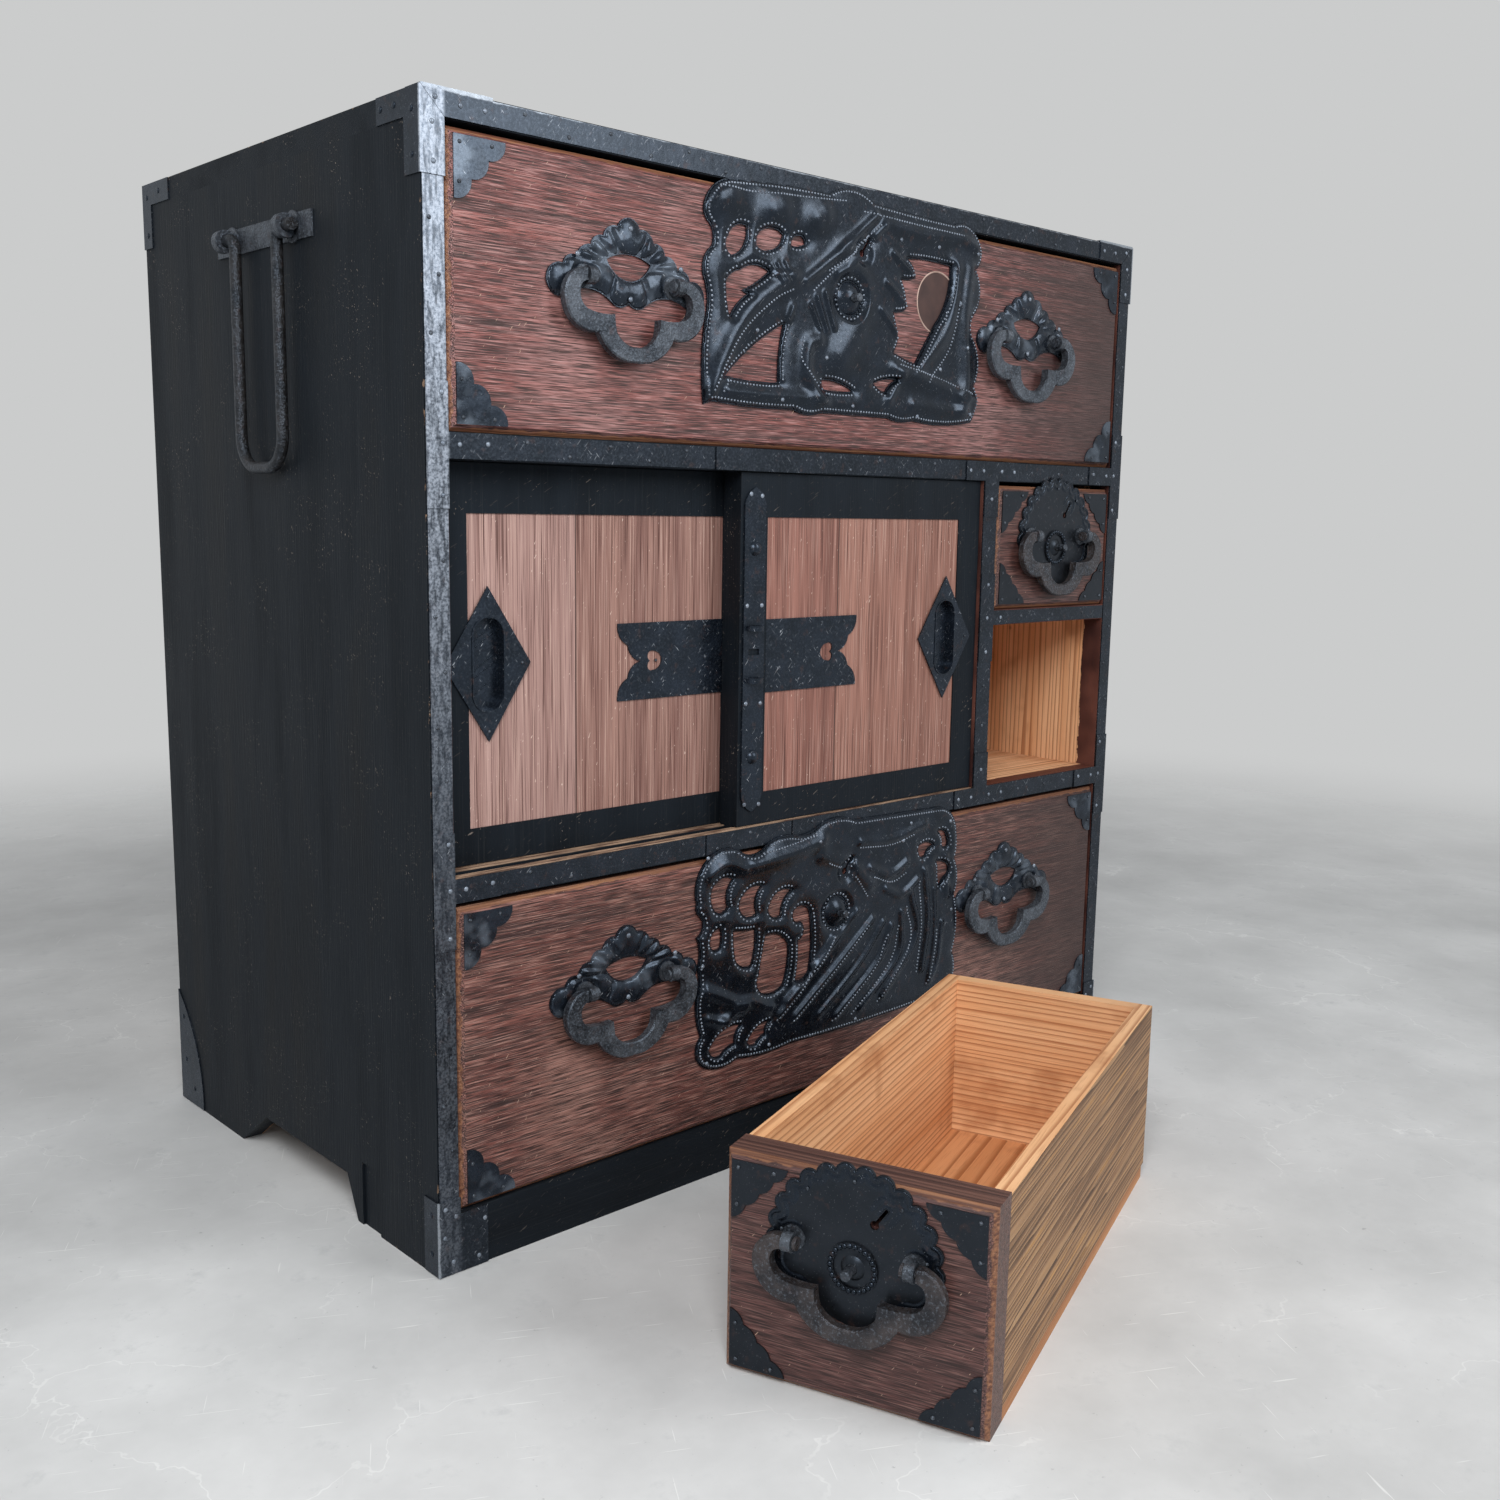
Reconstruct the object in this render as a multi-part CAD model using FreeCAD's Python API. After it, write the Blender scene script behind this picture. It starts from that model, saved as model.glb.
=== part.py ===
"""Small tansu: a clothing chest of boards, with iron straps and openwork lock plates.

Millimetres, +Z up, +Y to the back, +X to the right of someone facing the front.
The origin is the middle of the front base rail's underside, on the floor.
Each function below builds one kind of sub-part in its own local frame and places it.
"""
import FreeCAD, Part
import math
import os

V = FreeCAD.Vector
X_AXIS = V(1, 0, 0)
Y_AXIS = V(0, 1, 0)
Z_AXIS = V(0, 0, 1)

# ---------------------------------------------------------------- case
case_depth = 334.0
side_t = 13.0            # side boards
top_t = 13.0             # top board
back_t = 9.0             # back boards
back_planks = 3
back_seam = 0.4          # open seam between two back boards
base_h = 34.0            # front base rail, which stands on the floor
base_t = 20.0
rail_t = 13.5            # the two rails across the front
rail_depth = 42.0
dust_t = 7.0             # boards behind the rails
bottom_t = 8.0           # board under the bottom drawer
divider_t = 15.5
small_shelf_t = 10.7

door_space_w = 424.0     # clear widths and heights of the spaces in the front
small_space_w = 134.5
bottom_space_h = 170.5
door_space_h = 214.0
upper_small_h = 88.9
top_space_h = 147.5

foot_front = 88.0        # arch that is cut into the foot of each side board
foot_back = 94.0
arch_h = 25.5
arch_front_run = 12.0
arch_back_run = 35.0
patch_at = 62.0          # shallow repair pocket in the left front foot
patch_w = 20.0
patch_h = 38.0
patch_deep = 1.5

# ---------------------------------------------------------------- drawers
gap_side = 1.0
gap_top = 2.7
gap_under = 0.3
front_proud = 1.1        # drawer fronts stand this far in front of the rails
front_t = 21.0
front_bevel = 3.5
drawer_back_clear = 8.1  # behind a shut drawer
wall_t = 9.0
wall_drop = 1.5          # walls end this far under the top edge of the front
floor_t = 7.0
floor_short = 6.0        # the floor ends this far before the back of the drawer
handle_x = 175.0         # wide drawers: handles out from the middle of the front
handle_drop = 61.5       # hinge line under the top edge of a wide front
small_handle_drop = 34.7
top_lock_x = -4.0        # lock centre from the middle of the front, and under its top edge
top_lock_drop = 52.0
top_key_at = (10.5, 28.0)    # keyhole from the lock centre
bottom_lock_x = -2.0
bottom_lock_drop = 50.0
bottom_key_at = (7.5, 26.0)
small_lock_drop = 42.7
small_key_at = (10.0, 23.0)

loose_turn = -69.5       # the loose drawer stands on the floor, turned about +Z
loose_from_left = 57.8   # its near bottom corner: from the left side of the case
loose_ahead = 163.3      # and in front of the rails

# ---------------------------------------------------------------- doors
door_t = 15.0
door_recess = 2.0        # front door behind the rails' front
door_gap = 2.5           # between the two doors
door_lap = 24.0          # how far the doors overlap
door_clear = 0.5         # above and below a door, and beside it
stile_w = 22.0
door_top_w = 26.0
door_foot_w = 19.5
panel_t = 8.0
panel_recess = 0.8
panel_tongue = 5.0       # panel edge inside the frame's groove
tongue_t = 7.0           # tongues that run in the rails' grooves
tongue_up = 4.0
tongue_down = 2.0
groove_clear = 0.5

# ---------------------------------------------------------------- iron
strap_t = 0.8
sleeve_t = 0.8
strap_inset = 0.6        # straps stop this far inside the wood's edges
seam = 0.3
plate_t = 1.2
fit_clear = 0.1          # hinge pins in their eyes
hole_clear = 0.2         # posts in their holes

eye_r = 4.6              # eye posts of the drawer handles
eye_w = 5.0
post_r = 2.2
post_span = 60.0
post_washer_r = 6.0
post_washer_t = 0.9
hinge_out = 5.6          # hinge line in front of the plate
clinch_l = 9.0           # bent legs of a post inside the drawer
clinch_t = 1.4
clinch_w = 3.6
pin_r = 2.3
knob_r = 3.2
knob_w = 1.6
pin_root = 1.0           # pins start this deep in the bail, and stems in their eyes
bail_t = 5.5
bail_end_z = (3.2, -3.6, -3.0)   # top of a bail's end, its waist, and the foot of the end
bail_edge = 0.8
bail_eased_from = 18.5   # only its long edges are eased
side_play = 0.6          # bail along its pin

lock_dome_r = 10.0
lock_dome_h = 4.5
small_dome_r = 6.0
small_dome_h = 2.2
rosette_r = 12.5         # ring round the lock of a small drawer
rosette_w = 3.0
rosette_h = 1.2
button_r = 2.5
button_out = 11.0
button_in = 3.0          # how far it stands in the lock case
button_clear = 0.3
button_travel = 4.0
button_end_clear = 1.0
button_eased = 0.6
lock_case_w = 58.0
small_lock_case_w = 38.0
lock_case_below = 18.0   # from the lock centre down
lock_case_above = 9.0    # from the keyhole up
lock_case_t = 10.0
bolt_w = 16.0
bolt_t = 4.0
bolt_out = 3.0
key_r = 2.2
key_slot_w = 1.6
key_slot_l = 10.5
key_slot_turn = 35.0
key_deep = 5.0           # into the lock case
corner_leg = 30.0        # scalloped corner plates of the drawer fronts
corner_lobes = 3
corner_bulge = 3.4
small_corner_leg = 29.0
small_corner_lobes = 4
small_corner_bulge = 1.6
small_plate_r = 41.0     # round plate of a small drawer
small_plate_bulge = 3.2
small_plate_lobes = 14
small_plate_rise = 6.0   # its centre above the lock's
small_plate_sweep = (-8.0, 196.0)
disc_r = 20.0
disc_t = 0.6

grip_span = 75.0         # carrying handles on the two sides
grip_leg_x = 26.0
grip_len = 131.0
grip_r = 3.3
grip_bend = 18.0
grip_elbow = 6.0
grip_out = 6.5
grip_drop = 49.5         # hinge line under the top of the case
grip_plate_w = 116.0
grip_plate_h = 14.0
grip_eye_r = 6.4
grip_eye_w = 6.0
grip_washer_r = 8.5
grip_slip = 2.4          # the bail hangs this far forward in its eyes

lower_breaks = (186.0, 258.0)    # the lower rail's strap is lapped here, from the left side
upper_break = 230.0      # the upper rail's strap is in two lengths, joined under a sleeve
splice_half = 40.0
leg_long = 40.5          # sleeve legs along a rail, from the outer side of the post
leg_short = 30.0         # sleeve at a bottom corner
sleeve_reach = 31.0      # sleeve legs up and down a post, from the middle of the rail
corner_reach = 40.0      # sleeve legs down a post at the top corners
foot_reach = 43.0
fold = 13.0              # how far a sleeve folds round on to the side
fold_top = 39.0          # and along the side's top edge
back_leg = 12.0
back_reach = 39.0
foot_iron_y = 34.0       # leaf-shaped iron at the foot of the back corner
foot_iron_z = 78.0
foot_iron_belly = (0.7, 0.6)     # its arc's middle, as shares of its depth and height

# ---------------------------------------------------------------- derived places
case_w = 2 * side_t + door_space_w + divider_t + small_space_w
case_h = base_h + bottom_space_h + door_space_h + top_space_h + 2 * rail_t + top_t
front = -base_t / 2
back = front + case_depth
inner_back = back - back_t
left = -case_w / 2
right = case_w / 2
inner_left = left + side_t
inner_right = right - side_t
divider_x = inner_left + door_space_w
small_x = divider_x + divider_t
lower_rail_z = base_h + bottom_space_h
door_z = lower_rail_z + rail_t
upper_rail_z = door_z + door_space_h
top_space_z = upper_rail_z + rail_t
top_board_z = top_space_z + top_space_h
open_space_h = door_space_h - small_shelf_t - upper_small_h
small_shelf_z = door_z + open_space_h
upper_small_z = small_shelf_z + small_shelf_t
drawer_len = case_depth - back_t + front_proud - drawer_back_clear
grip_z = case_h - grip_drop
grip_y = front + case_depth / 2


# ---------------------------------------------------------------- helpers
def box(x0, x1, y0, y1, z0, z1):
    return Part.makeBox(x1 - x0, y1 - y0, z1 - z0, V(x0, y0, z0))


def rod(radius, start, end):
    """Cylinder between two points."""
    axis = end - start
    return Part.makeCylinder(radius, axis.Length, start, axis)


def edge_through(a, m, b):
    """Arc from a to b through m, or a straight edge where the three are in line."""
    if (m - a).cross(b - a).Length < 0.02 * (b - a).Length:
        return Part.LineSegment(a, b).toShape()
    return Part.Arc(a, m, b).toShape()


def outline(points):
    """Closed wire in XZ. Corners and points on the arcs between them take turns."""
    at = [V(x, 0, z) for x, z in points]
    count = len(at)
    edges = [edge_through(at[i], at[i + 1], at[(i + 2) % count]) for i in range(0, count, 2)]
    return Part.Wire(edges)


def polygon(points):
    at = [V(x, 0, z) for x, z in points]
    return Part.makePolygon(at + at[:1])


def sheet(wire, thickness, holes=()):
    """Flat piece of a given outline, from y = 0 forwards, with holes cut through."""
    solid = Part.Face(wire).extrude(V(0, -thickness, 0))
    tools = [Part.Face(hole).extrude(V(0, -thickness, 0)) for hole in holes]
    return solid.cut(tools) if tools else solid


def rect(x0, x1, z0, z1):
    return polygon([(x0, z0), (x1, z0), (x1, z1), (x0, z1)])


def circle(radius, x=0.0, z=0.0):
    return Part.Wire([Part.makeCircle(radius, V(x, 0, z), Y_AXIS)])


def moved(shape, x=0.0, y=0.0, z=0.0):
    return shape.translated(V(x, y, z))


def mirrored(shape, normal=X_AXIS):
    return shape.mirror(V(0, 0, 0), normal)


def group(solids):
    return Part.makeCompound(solids)


def save(node, shape):
    shape.exportStep("parts/%s.step" % node)


def both_ways(points):
    """Points of a right half, from the bottom of the axis to its top, and their mirror."""
    return points + [(-x, z) for x, z in points[-2:0:-1]]


def lobes(a, b, count, bulge):
    """Scalloped run from a to b: corners on the chord, arcs that bulge to its left."""
    run = (b[0] - a[0], b[1] - a[1])
    length = math.hypot(*run)
    out = (-run[1] / length * bulge, run[0] / length * bulge)
    points = []
    for k in range(count):
        start = (a[0] + run[0] * k / count, a[1] + run[1] * k / count)
        mid = (start[0] + run[0] / count / 2 + out[0], start[1] + run[1] / count / 2 + out[1])
        points += [start, mid]
    return points


# ---------------------------------------------------------------- outlines of the ironwork
# Each lock plate is drawn about its lock's centre, and each handle plate about the
# middle of its hinge line. Corners and arc points take turns.
top_plate_edge = [
    (-118, 39), (-112, 49), (-98, 55), (-60, 58), (-20, 59), (0, 64.5), (20, 59), (60, 57.5),
    (97, 57), (120, 53), (126, 44), (125.5, 36), (121, 31), (126.5, 14), (120, 1), (118, -8),
    (122, -15), (127.5, -30), (123.5, -44), (126.5, -56), (121, -68), (100, -71), (62, -70),
    (50, -71.5), (38, -69.5), (5, -69.5), (-22, -69.5), (-33, -71.5), (-46, -69), (-80, -69.5),
    (-109, -68), (-113, -68.5), (-117, -70), (-118.5, -50), (-116, -22), (-115, -10),
    (-118, 0), (-118, 9), (-112, 17), (-111, 23), (-114, 29), (-117.5, 33)]
top_plate_gaps = [
    [(-86, 31), (-87, 22), (-97, 14), (-101, 17), (-100, 24), (-95, 30)],
    [(-76, 29), (-64, 32.5), (-57, 30), (-60, 24), (-67, 20.5), (-73, 19.5), (-78, 21.5),
     (-78, 25)],
    [(-50, 25), (-48, 30), (-44, 31), (-40, 30), (-39, 27), (-45, 25)],
    [(-68, 8), (-78, 10.5), (-90, 6.5), (-96, 4.5), (-101, 0), (-100.5, -10), (-98, -20),
     (-92, -12), (-84, -6), (-86.5, -5.6), (-89, -4.5), (-78, 1)],
    [(-55, -20), (-58.5, -38), (-59, -54), (-80, -54.5), (-101, -53), (-80, -35)],
    [(-22, -50), (-9, -50.5), (5, -55), (-8, -56), (-20, -55.5), (-22, -53)],
    [(24, -49), (34, -46), (45, -45.5), (39, -49), (35, -54), (30, -52.5)],
    [(63, -34), (52, -31.5), (42, -28.5), (44.5, -24.5), (46, -20), (44, -11.5), (41, -4),
     (47, -3.5), (53, -1), (51.5, 9), (47, 17), (54, 17), (61, 19), (58, 26), (52, 30),
     (74, 31), (95, 30), (92.5, 10), (82, -7), (72, -21)]]
top_disc_at = (84, 6)

bottom_plate_edge = [
    (-120, 25), (-114, 49), (-97, 56), (-92, 55.5), (-87, 54), (-74, 49), (-62, 54),
    (-50, 57), (-38, 56), (-30, 55.5), (-21, 57.5), (-4, 62.5), (17, 59), (60, 58), (100, 57),
    (115, 51), (121, 38), (122, 28), (120, 18), (124, 5), (121, -8), (125, -29), (121, -50),
    (123, -68), (113, -79), (97, -81.5), (80, -80.5), (20, -81.5), (-40, -80.5), (-62, -82),
    (-86, -79.5), (-100, -82.5), (-113, -79), (-119.5, -70), (-116, -59), (-119.5, -46),
    (-119.5, -31), (-118, -23), (-119, -15), (-117.5, -5), (-120, 4), (-115, 10), (-118, 17),
    (-120, 20)]
bottom_plate_gaps = [
    [(-108, 32), (-100, 37.5), (-91, 36), (-96, 28), (-95, 19), (-99.5, 16.5), (-106, 19),
     (-108.5, 25)],
    [(-85, 21), (-78, 27.5), (-67, 28), (-72, 20), (-71, 11), (-79, 10), (-84, 14),
     (-85.5, 17)],
    [(-60, 14), (-53, 21.5), (-41, 21), (-48, 14.5), (-50, 6), (-56, 6), (-60, 9),
     (-60.7, 11.5)],
    [(-109, -1), (-106.5, 5), (-101, 7), (-100, 1), (-101, -5), (-105.5, -6)],
    [(-90, 3), (-89.5, -8), (-88, -16), (-83, -20.5), (-75, -22), (-72, -11), (-72, 1),
     (-81, 1.5)],
    [(-63, -5), (-65.5, -16), (-68, -29), (-69, -37), (-64, -42), (-55.5, -43), (-47, -40),
     (-43.5, -28), (-43, -14), (-51, -6.5)],
    [(-39, 6), (-32, 9.5), (-24, 3), (-22, -15), (-24, -35), (-29, -39.5), (-36, -39),
     (-34, -26), (-34, -13.5), (-29, -8), (-32, -1), (-37, 0)],
    [(-109, -69), (-100, -60), (-83, -58), (-87, -63), (-88, -69), (-94, -70.5), (-99, -74),
     (-105.5, -73.5)],
    [(-77, -71), (-69, -63), (-58, -61), (-61.5, -65), (-62, -69), (-66.5, -70.5),
     (-70, -74), (-74.5, -73.5)],
    [(81, 32), (89, 34), (96, 31), (91, 29), (88, 25), (84, 24), (81.5, 27), (80.5, 29.5)],
    [(101, 40), (106, 40), (110, 36), (111.5, 32.5), (111.5, 29), (108, 28), (105.5, 30),
     (104.5, 36)],
    [(100, 19), (106, 18), (112, 15), (113.5, 11.5), (112, 8), (107.5, 5), (104, 0),
     (102.5, 6), (102, 12), (101.5, 16)]]

# Fan-shaped plate behind a handle: right half, from the cusp under the hinge line
# round the tip and over five lobes to the top.
pull_plate_half = [
    (0, -11), (5, -13.5), (10, -12.5), (26, -6), (42, -10.5), (47, -11.5), (51.5, -8.5),
    (53, 0), (43, 5), (40, 9.5), (34, 10), (31, 15), (25, 16.5), (22.5, 21), (17, 22),
    (13.5, 27), (7.5, 28), (0, 33.3)]
pull_plate_gap = [(-15, 10.5), (0, 14.3), (15, 10.5), (9, 3.5), (0, 0.5), (-9, 3.5)]

# Foot of a small drawer's round plate, about the round part's centre: right half.
small_plate_foot = [(38.5, -17), (27, -22), (15, -30), (0, -35)]

# Three-lobed bail about its hinge line: right half of the outer edge from the bottom
# up, and of the inner edge from the bottom up.
bail_outer_half = [
    (0, -42.3), (17.5, -38), (25.5, -28.5), (41.5, -24.5), (47.6, -11), (44, -1.3), (37, 3.2)]
bail_inner_half = [
    (0, -34.2), (10.6, -31), (15, -24.5), (15.4, -21.5), (15.6, -18.6), (25, -18.9),
    (33.5, -17.3), (37.9, -12), (37, -5)]

swallow_tail = [
    (0, 22.3), (-40, 22.3), (-86, 22.3), (-83.5, 13.5), (-78, 9.5), (-75, 3.5), (-68, 0),
    (-75, -3.5), (-78, -9.5), (-83.5, -13.5), (-86, -22.3), (-40, -22.3), (0, -22.3), (0, 0)]
tail_heart = [
    (-51, 0), (-54, 4.6), (-58, 5.6), (-62, 4.5), (-60.5, 0), (-62, -4.5), (-58, -5.6),
    (-54, -4.6)]
tail_plate_t = 0.9
tail_z = 104.0           # middle of the swallow-tailed plates above the rail
tail_reach = 80.0        # their length from the meeting stile

pull_rhomb = (27.0, 41.5)    # half width and half height
pull_z = 108.0
pull_from_edge = 34.0
pull_plate_t = 0.9
cup_r = 9.5
cup_half = 25.0
cup_deep = 5.0
cup_wall = 0.8
cup_rim = 0.5            # raised rim in front of the plate

bar_w = 17.0             # lock bar on the front door's meeting stile
bar_h = 196.0
bar_tip = 5.0
bar_shoulder = 0.75      # half width in the middle of its ogee tips, as a share
bar_stud_r = 4.5
bar_stud_h = 3.0
bar_studs = (62.0, -64.0)    # above the middle of the bar
bar_staples = (14.5, -17.0)
staple_w = 3.0
staple_h = 6.0
staple_t = 2.4
bar_key = (9.0, 3.6)


# ---------------------------------------------------------------- case boards
def arch_profile():
    """Cut-out in the foot of a side board, in local y (from the front) and z."""
    y1 = case_depth - foot_back
    return [(foot_front, 0), (foot_front + arch_front_run, arch_h),
            (y1 - arch_back_run, arch_h), (y1, 0)]


def side_board(x0):
    board = box(x0, x0 + side_t, front, back, 0, top_board_z)
    at = [V(x0, front + y, z) for y, z in arch_profile()]
    arch = Part.Face(Part.makePolygon(at + at[:1])).extrude(V(side_t, 0, 0))
    return board.cut(arch)


def repair_pocket():
    y0 = front + patch_at
    return box(left, left + patch_deep, y0, y0 + patch_w, 0, patch_h)


def door_track(z0, z1):
    """The two grooves that the doors' tongues run in, between two heights."""
    y0 = front + door_recess + (door_t - tongue_t) / 2 - groove_clear
    step = door_t + door_gap
    width = tongue_t + 2 * groove_clear
    return [box(inner_left, divider_x, y, y + width, z0, z1) for y in (y0, y0 + step)]


def rails():
    upper = box(inner_left, inner_right, front, front + rail_depth, upper_rail_z, top_space_z)
    lower = box(inner_left, inner_right, front, front + rail_depth, lower_rail_z, door_z)
    up = tongue_up + groove_clear
    down = tongue_down + groove_clear
    upper = upper.cut(door_track(upper_rail_z, upper_rail_z + up))
    lower = lower.cut(door_track(door_z - down, door_z))
    return upper, lower


def dust_boards():
    y0 = front + rail_depth
    tops = (door_z, top_space_z)
    return [box(inner_left, inner_right, y0, inner_back, z - dust_t, z) for z in tops]


def divider():
    """Upright between the doors and the small column, notched under the upper rail."""
    low = box(divider_x, small_x, front, inner_back, door_z, upper_rail_z)
    high = box(divider_x, small_x, front + rail_depth, inner_back, door_z, top_space_z - dust_t)
    return fused([low, high])


def back_boards():
    height = (top_board_z - base_h) / back_planks
    planks = []
    for k in range(back_planks):
        z0 = base_h + k * height
        planks.append(box(inner_left, inner_right, inner_back, back, z0, z0 + height - back_seam))
    return planks


def case_boards():
    upper, lower = rails()
    save("side_left", side_board(left).cut(repair_pocket()))
    save("side_right", side_board(inner_right))
    save("top_board", box(left, right, front, back, top_board_z, case_h))
    save("base_rail", box(inner_left, inner_right, front, front + base_t, 0, base_h))
    save("bottom_board",
         box(inner_left, inner_right, front + base_t, back, base_h - bottom_t, base_h))
    save("upper_rail", upper)
    save("lower_rail", lower)
    save("dust_boards", group(dust_boards()))
    save("back_boards", group(back_boards()))
    save("divider", divider())
    save("small_shelf",
         box(small_x, inner_right, front, inner_back, small_shelf_z, upper_small_z))


# ---------------------------------------------------------------- iron on the case
def strap(x0, x1, z0, z1):
    """Thin strap on the front faces of the frame, let in from the wood's edges."""
    inset = strap_inset
    flat = sheet(rect(x0 + inset, x1 - inset, z0 + inset, z1 - inset), strap_t)
    return moved(flat, y=front)


def front_straps():
    pieces = [strap(left, inner_left, 0, case_h), strap(inner_right, right, 0, case_h)]
    pieces.append(strap(inner_left, inner_right, top_board_z, case_h))
    for z, breaks in ((lower_rail_z, lower_breaks), (upper_rail_z, (upper_break,))):
        stops = [inner_left] + [left + at for at in breaks] + [inner_right]
        pieces += [strap(a, b, z, z + rail_t) for a, b in zip(stops, stops[1:])]
    pieces.append(strap(divider_x, small_x, door_z, upper_rail_z))
    pieces.append(strap(small_x, inner_right, small_shelf_z, upper_small_z))
    return pieces


def laid(wire):
    """Sleeve sheet that lies over the straps."""
    return moved(sheet(wire, sleeve_t), y=front - strap_t)


def fused(shapes):
    whole = shapes[0]
    for other in shapes[1:]:
        whole = whole.fuse(other)
    return whole.removeSplitter()


def side_fold(y_top, y_leg, z0, z1):
    """The part of a corner sleeve that is folded on to the left side: an L of two legs."""
    y0 = front - strap_t - sleeve_t
    leg = box(left - sleeve_t, left, y0, front + y_leg, z0, z1)
    if y_top <= y_leg:
        return leg
    return leg.fuse(box(left - sleeve_t, left, y0, front + y_top, top_board_z, z1))


def top_corner():
    """Mitred sleeve over the left top corner, folded on to the side and the top."""
    y0 = front - strap_t - sleeve_t
    foot = case_h - corner_reach
    post = laid(polygon([(left, foot), (inner_left, foot), (inner_left, top_board_z),
                         (left, case_h)]))
    rail = laid(polygon([(left + seam, case_h), (inner_left, top_board_z + seam),
                         (left + leg_long, top_board_z + seam), (left + leg_long, case_h)]))
    roof = box(left + seam, left + leg_long, y0, front + fold, case_h, case_h + sleeve_t)
    return [fused([post, side_fold(fold_top, fold, foot, case_h)]), fused([rail, roof])]


def bottom_corner():
    low = strap_inset
    post = laid(rect(left, inner_left, low, foot_reach))
    rail = laid(rect(inner_left, left + leg_short, low, base_h - seam))
    return [fused([post, rail, side_fold(0, fold, low, foot_reach)])]


def tee(x_post0, x_post1, z_mid, half, x_leg, z_leg0, z_leg1, reach=None):
    """Sleeve over the joint of a post and a rail. reach limits it to one side of the rail."""
    z0, z1 = reach if reach else (z_mid - half, z_mid + half)
    post = laid(rect(x_post0 + seam, x_post1 - seam, z0, z1))
    lo, hi = min(x_post1 - seam, x_leg), max(x_post0 + seam, x_leg)
    leg = laid(rect(lo, hi, z_leg0 + seam, z_leg1 - seam))
    return fused([post, leg])


def joint_sleeves():
    rail_mids = [(z + rail_t / 2, z, z + rail_t) for z in (lower_rail_z, upper_rail_z)]
    pieces = top_corner() + bottom_corner()
    for mid, z0, z1 in rail_mids:
        pieces.append(tee(left, inner_left, mid, sleeve_reach, left + leg_long, z0, z1))
    pieces += [mirrored(piece) for piece in pieces]
    spread = (divider_t + leg_long) / 2
    mid_x = (divider_x + small_x) / 2
    for z0, z1, post in ((lower_rail_z, door_z, (door_z - seam, door_z + sleeve_reach - rail_t / 2)),
                         (upper_rail_z, top_space_z,
                          (upper_rail_z - sleeve_reach + rail_t / 2, upper_rail_z + seam))):
        rail = laid(rect(mid_x - spread, mid_x + spread, z0 + seam, z1 - seam))
        pieces.append(fused([rail, laid(rect(divider_x + seam, small_x - seam, *post))]))
    splice_x = left + upper_break
    pieces.append(laid(rect(splice_x - splice_half, splice_x + splice_half,
                            upper_rail_z + seam, top_space_z - seam)))
    shelf_mid = small_shelf_z + small_shelf_t / 2
    pieces.append(tee(divider_x, small_x, shelf_mid, sleeve_reach - seam,
                      small_x + fold, small_shelf_z, upper_small_z))
    return pieces


def back_corner_irons():
    """Irons on the side, folded round on to the back: an L at the top, a leaf at the foot."""
    x0 = left - sleeve_t
    top_leg = box(x0, left, back - back_leg, back + sleeve_t, case_h - back_reach, case_h)
    top_run = box(x0, left, back - fold_top, back + sleeve_t, top_board_z, case_h)
    top_back = box(x0, inner_left, back, back + sleeve_t, case_h - back_reach, case_h)
    low = strap_inset
    leaf = [V(x0, back + sleeve_t, low), V(x0, back - foot_iron_y, low),
            V(x0, back - foot_iron_y * foot_iron_belly[0], foot_iron_z * foot_iron_belly[1]),
            V(x0, back + sleeve_t, foot_iron_z)]
    edges = [Part.LineSegment(leaf[0], leaf[1]).toShape(),
             Part.Arc(leaf[1], leaf[2], leaf[3]).toShape(),
             Part.LineSegment(leaf[3], leaf[0]).toShape()]
    foot = Part.Face(Part.Wire(edges)).extrude(V(sleeve_t, 0, 0))
    foot_back_leg = box(x0, inner_left, back, back + sleeve_t, low, foot_iron_z)
    pieces = [fused([top_leg, top_run, top_back]), fused([foot, foot_back_leg])]
    return pieces + [mirrored(piece) for piece in pieces]


def case_iron():
    save("front_straps", group(front_straps()))
    save("joint_sleeves", group(joint_sleeves() + back_corner_irons()))


# ---------------------------------------------------------------- carrying handles
def grip_post():
    """Eye post on the left side: washer on the plate, eye in front of it."""
    x0 = left - plate_t
    axis = left - grip_out
    washer = rod(grip_washer_r, V(x0, 0, 0), V(x0 - post_washer_t, 0, 0))
    eye = rod(grip_eye_r, V(axis, -grip_eye_w / 2, 0), V(axis, grip_eye_w / 2, 0))
    bore = rod(grip_r + fit_clear, V(axis, -grip_eye_w, 0), V(axis, grip_eye_w, 0))
    outside = box(axis - 2 * grip_eye_r, x0, -grip_eye_w, grip_eye_w, -grip_eye_r, grip_eye_r)
    return fused([washer, eye.common(outside)]).cut(bore)


def grip_bail():
    """Round bar bent to a U, with its ends turned out into the eyes. Local y and z."""
    x = left - grip_out
    end = (grip_span + grip_eye_w) / 2 + grip_slip + knob_w
    e = grip_elbow
    c = math.sqrt(0.5)
    y, foot, b = grip_leg_x, -grip_len + grip_r, grip_bend
    path = [Part.LineSegment(V(x, end, 0), V(x, y + e, 0)).toShape(),
            Part.Arc(V(x, y + e, 0), V(x, y + e - e * c, -e + e * c), V(x, y, -e)).toShape(),
            Part.LineSegment(V(x, y, -e), V(x, y, foot + b)).toShape(),
            Part.Arc(V(x, y, foot + b), V(x, y - b + b * c, foot + b - b * c),
                     V(x, y - b, foot)).toShape()]
    other = [edge.mirror(V(0, 0, 0), Y_AXIS) for edge in path]
    bottom = Part.LineSegment(V(x, y - b, foot), V(x, b - y, foot)).toShape()
    wire = Part.Wire(Part.__sortEdges__(path + [bottom] + other))
    ring = Part.Wire([Part.makeCircle(grip_r, V(x, end, 0), Y_AXIS)])
    return wire.makePipeShell([ring], True, False)


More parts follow.
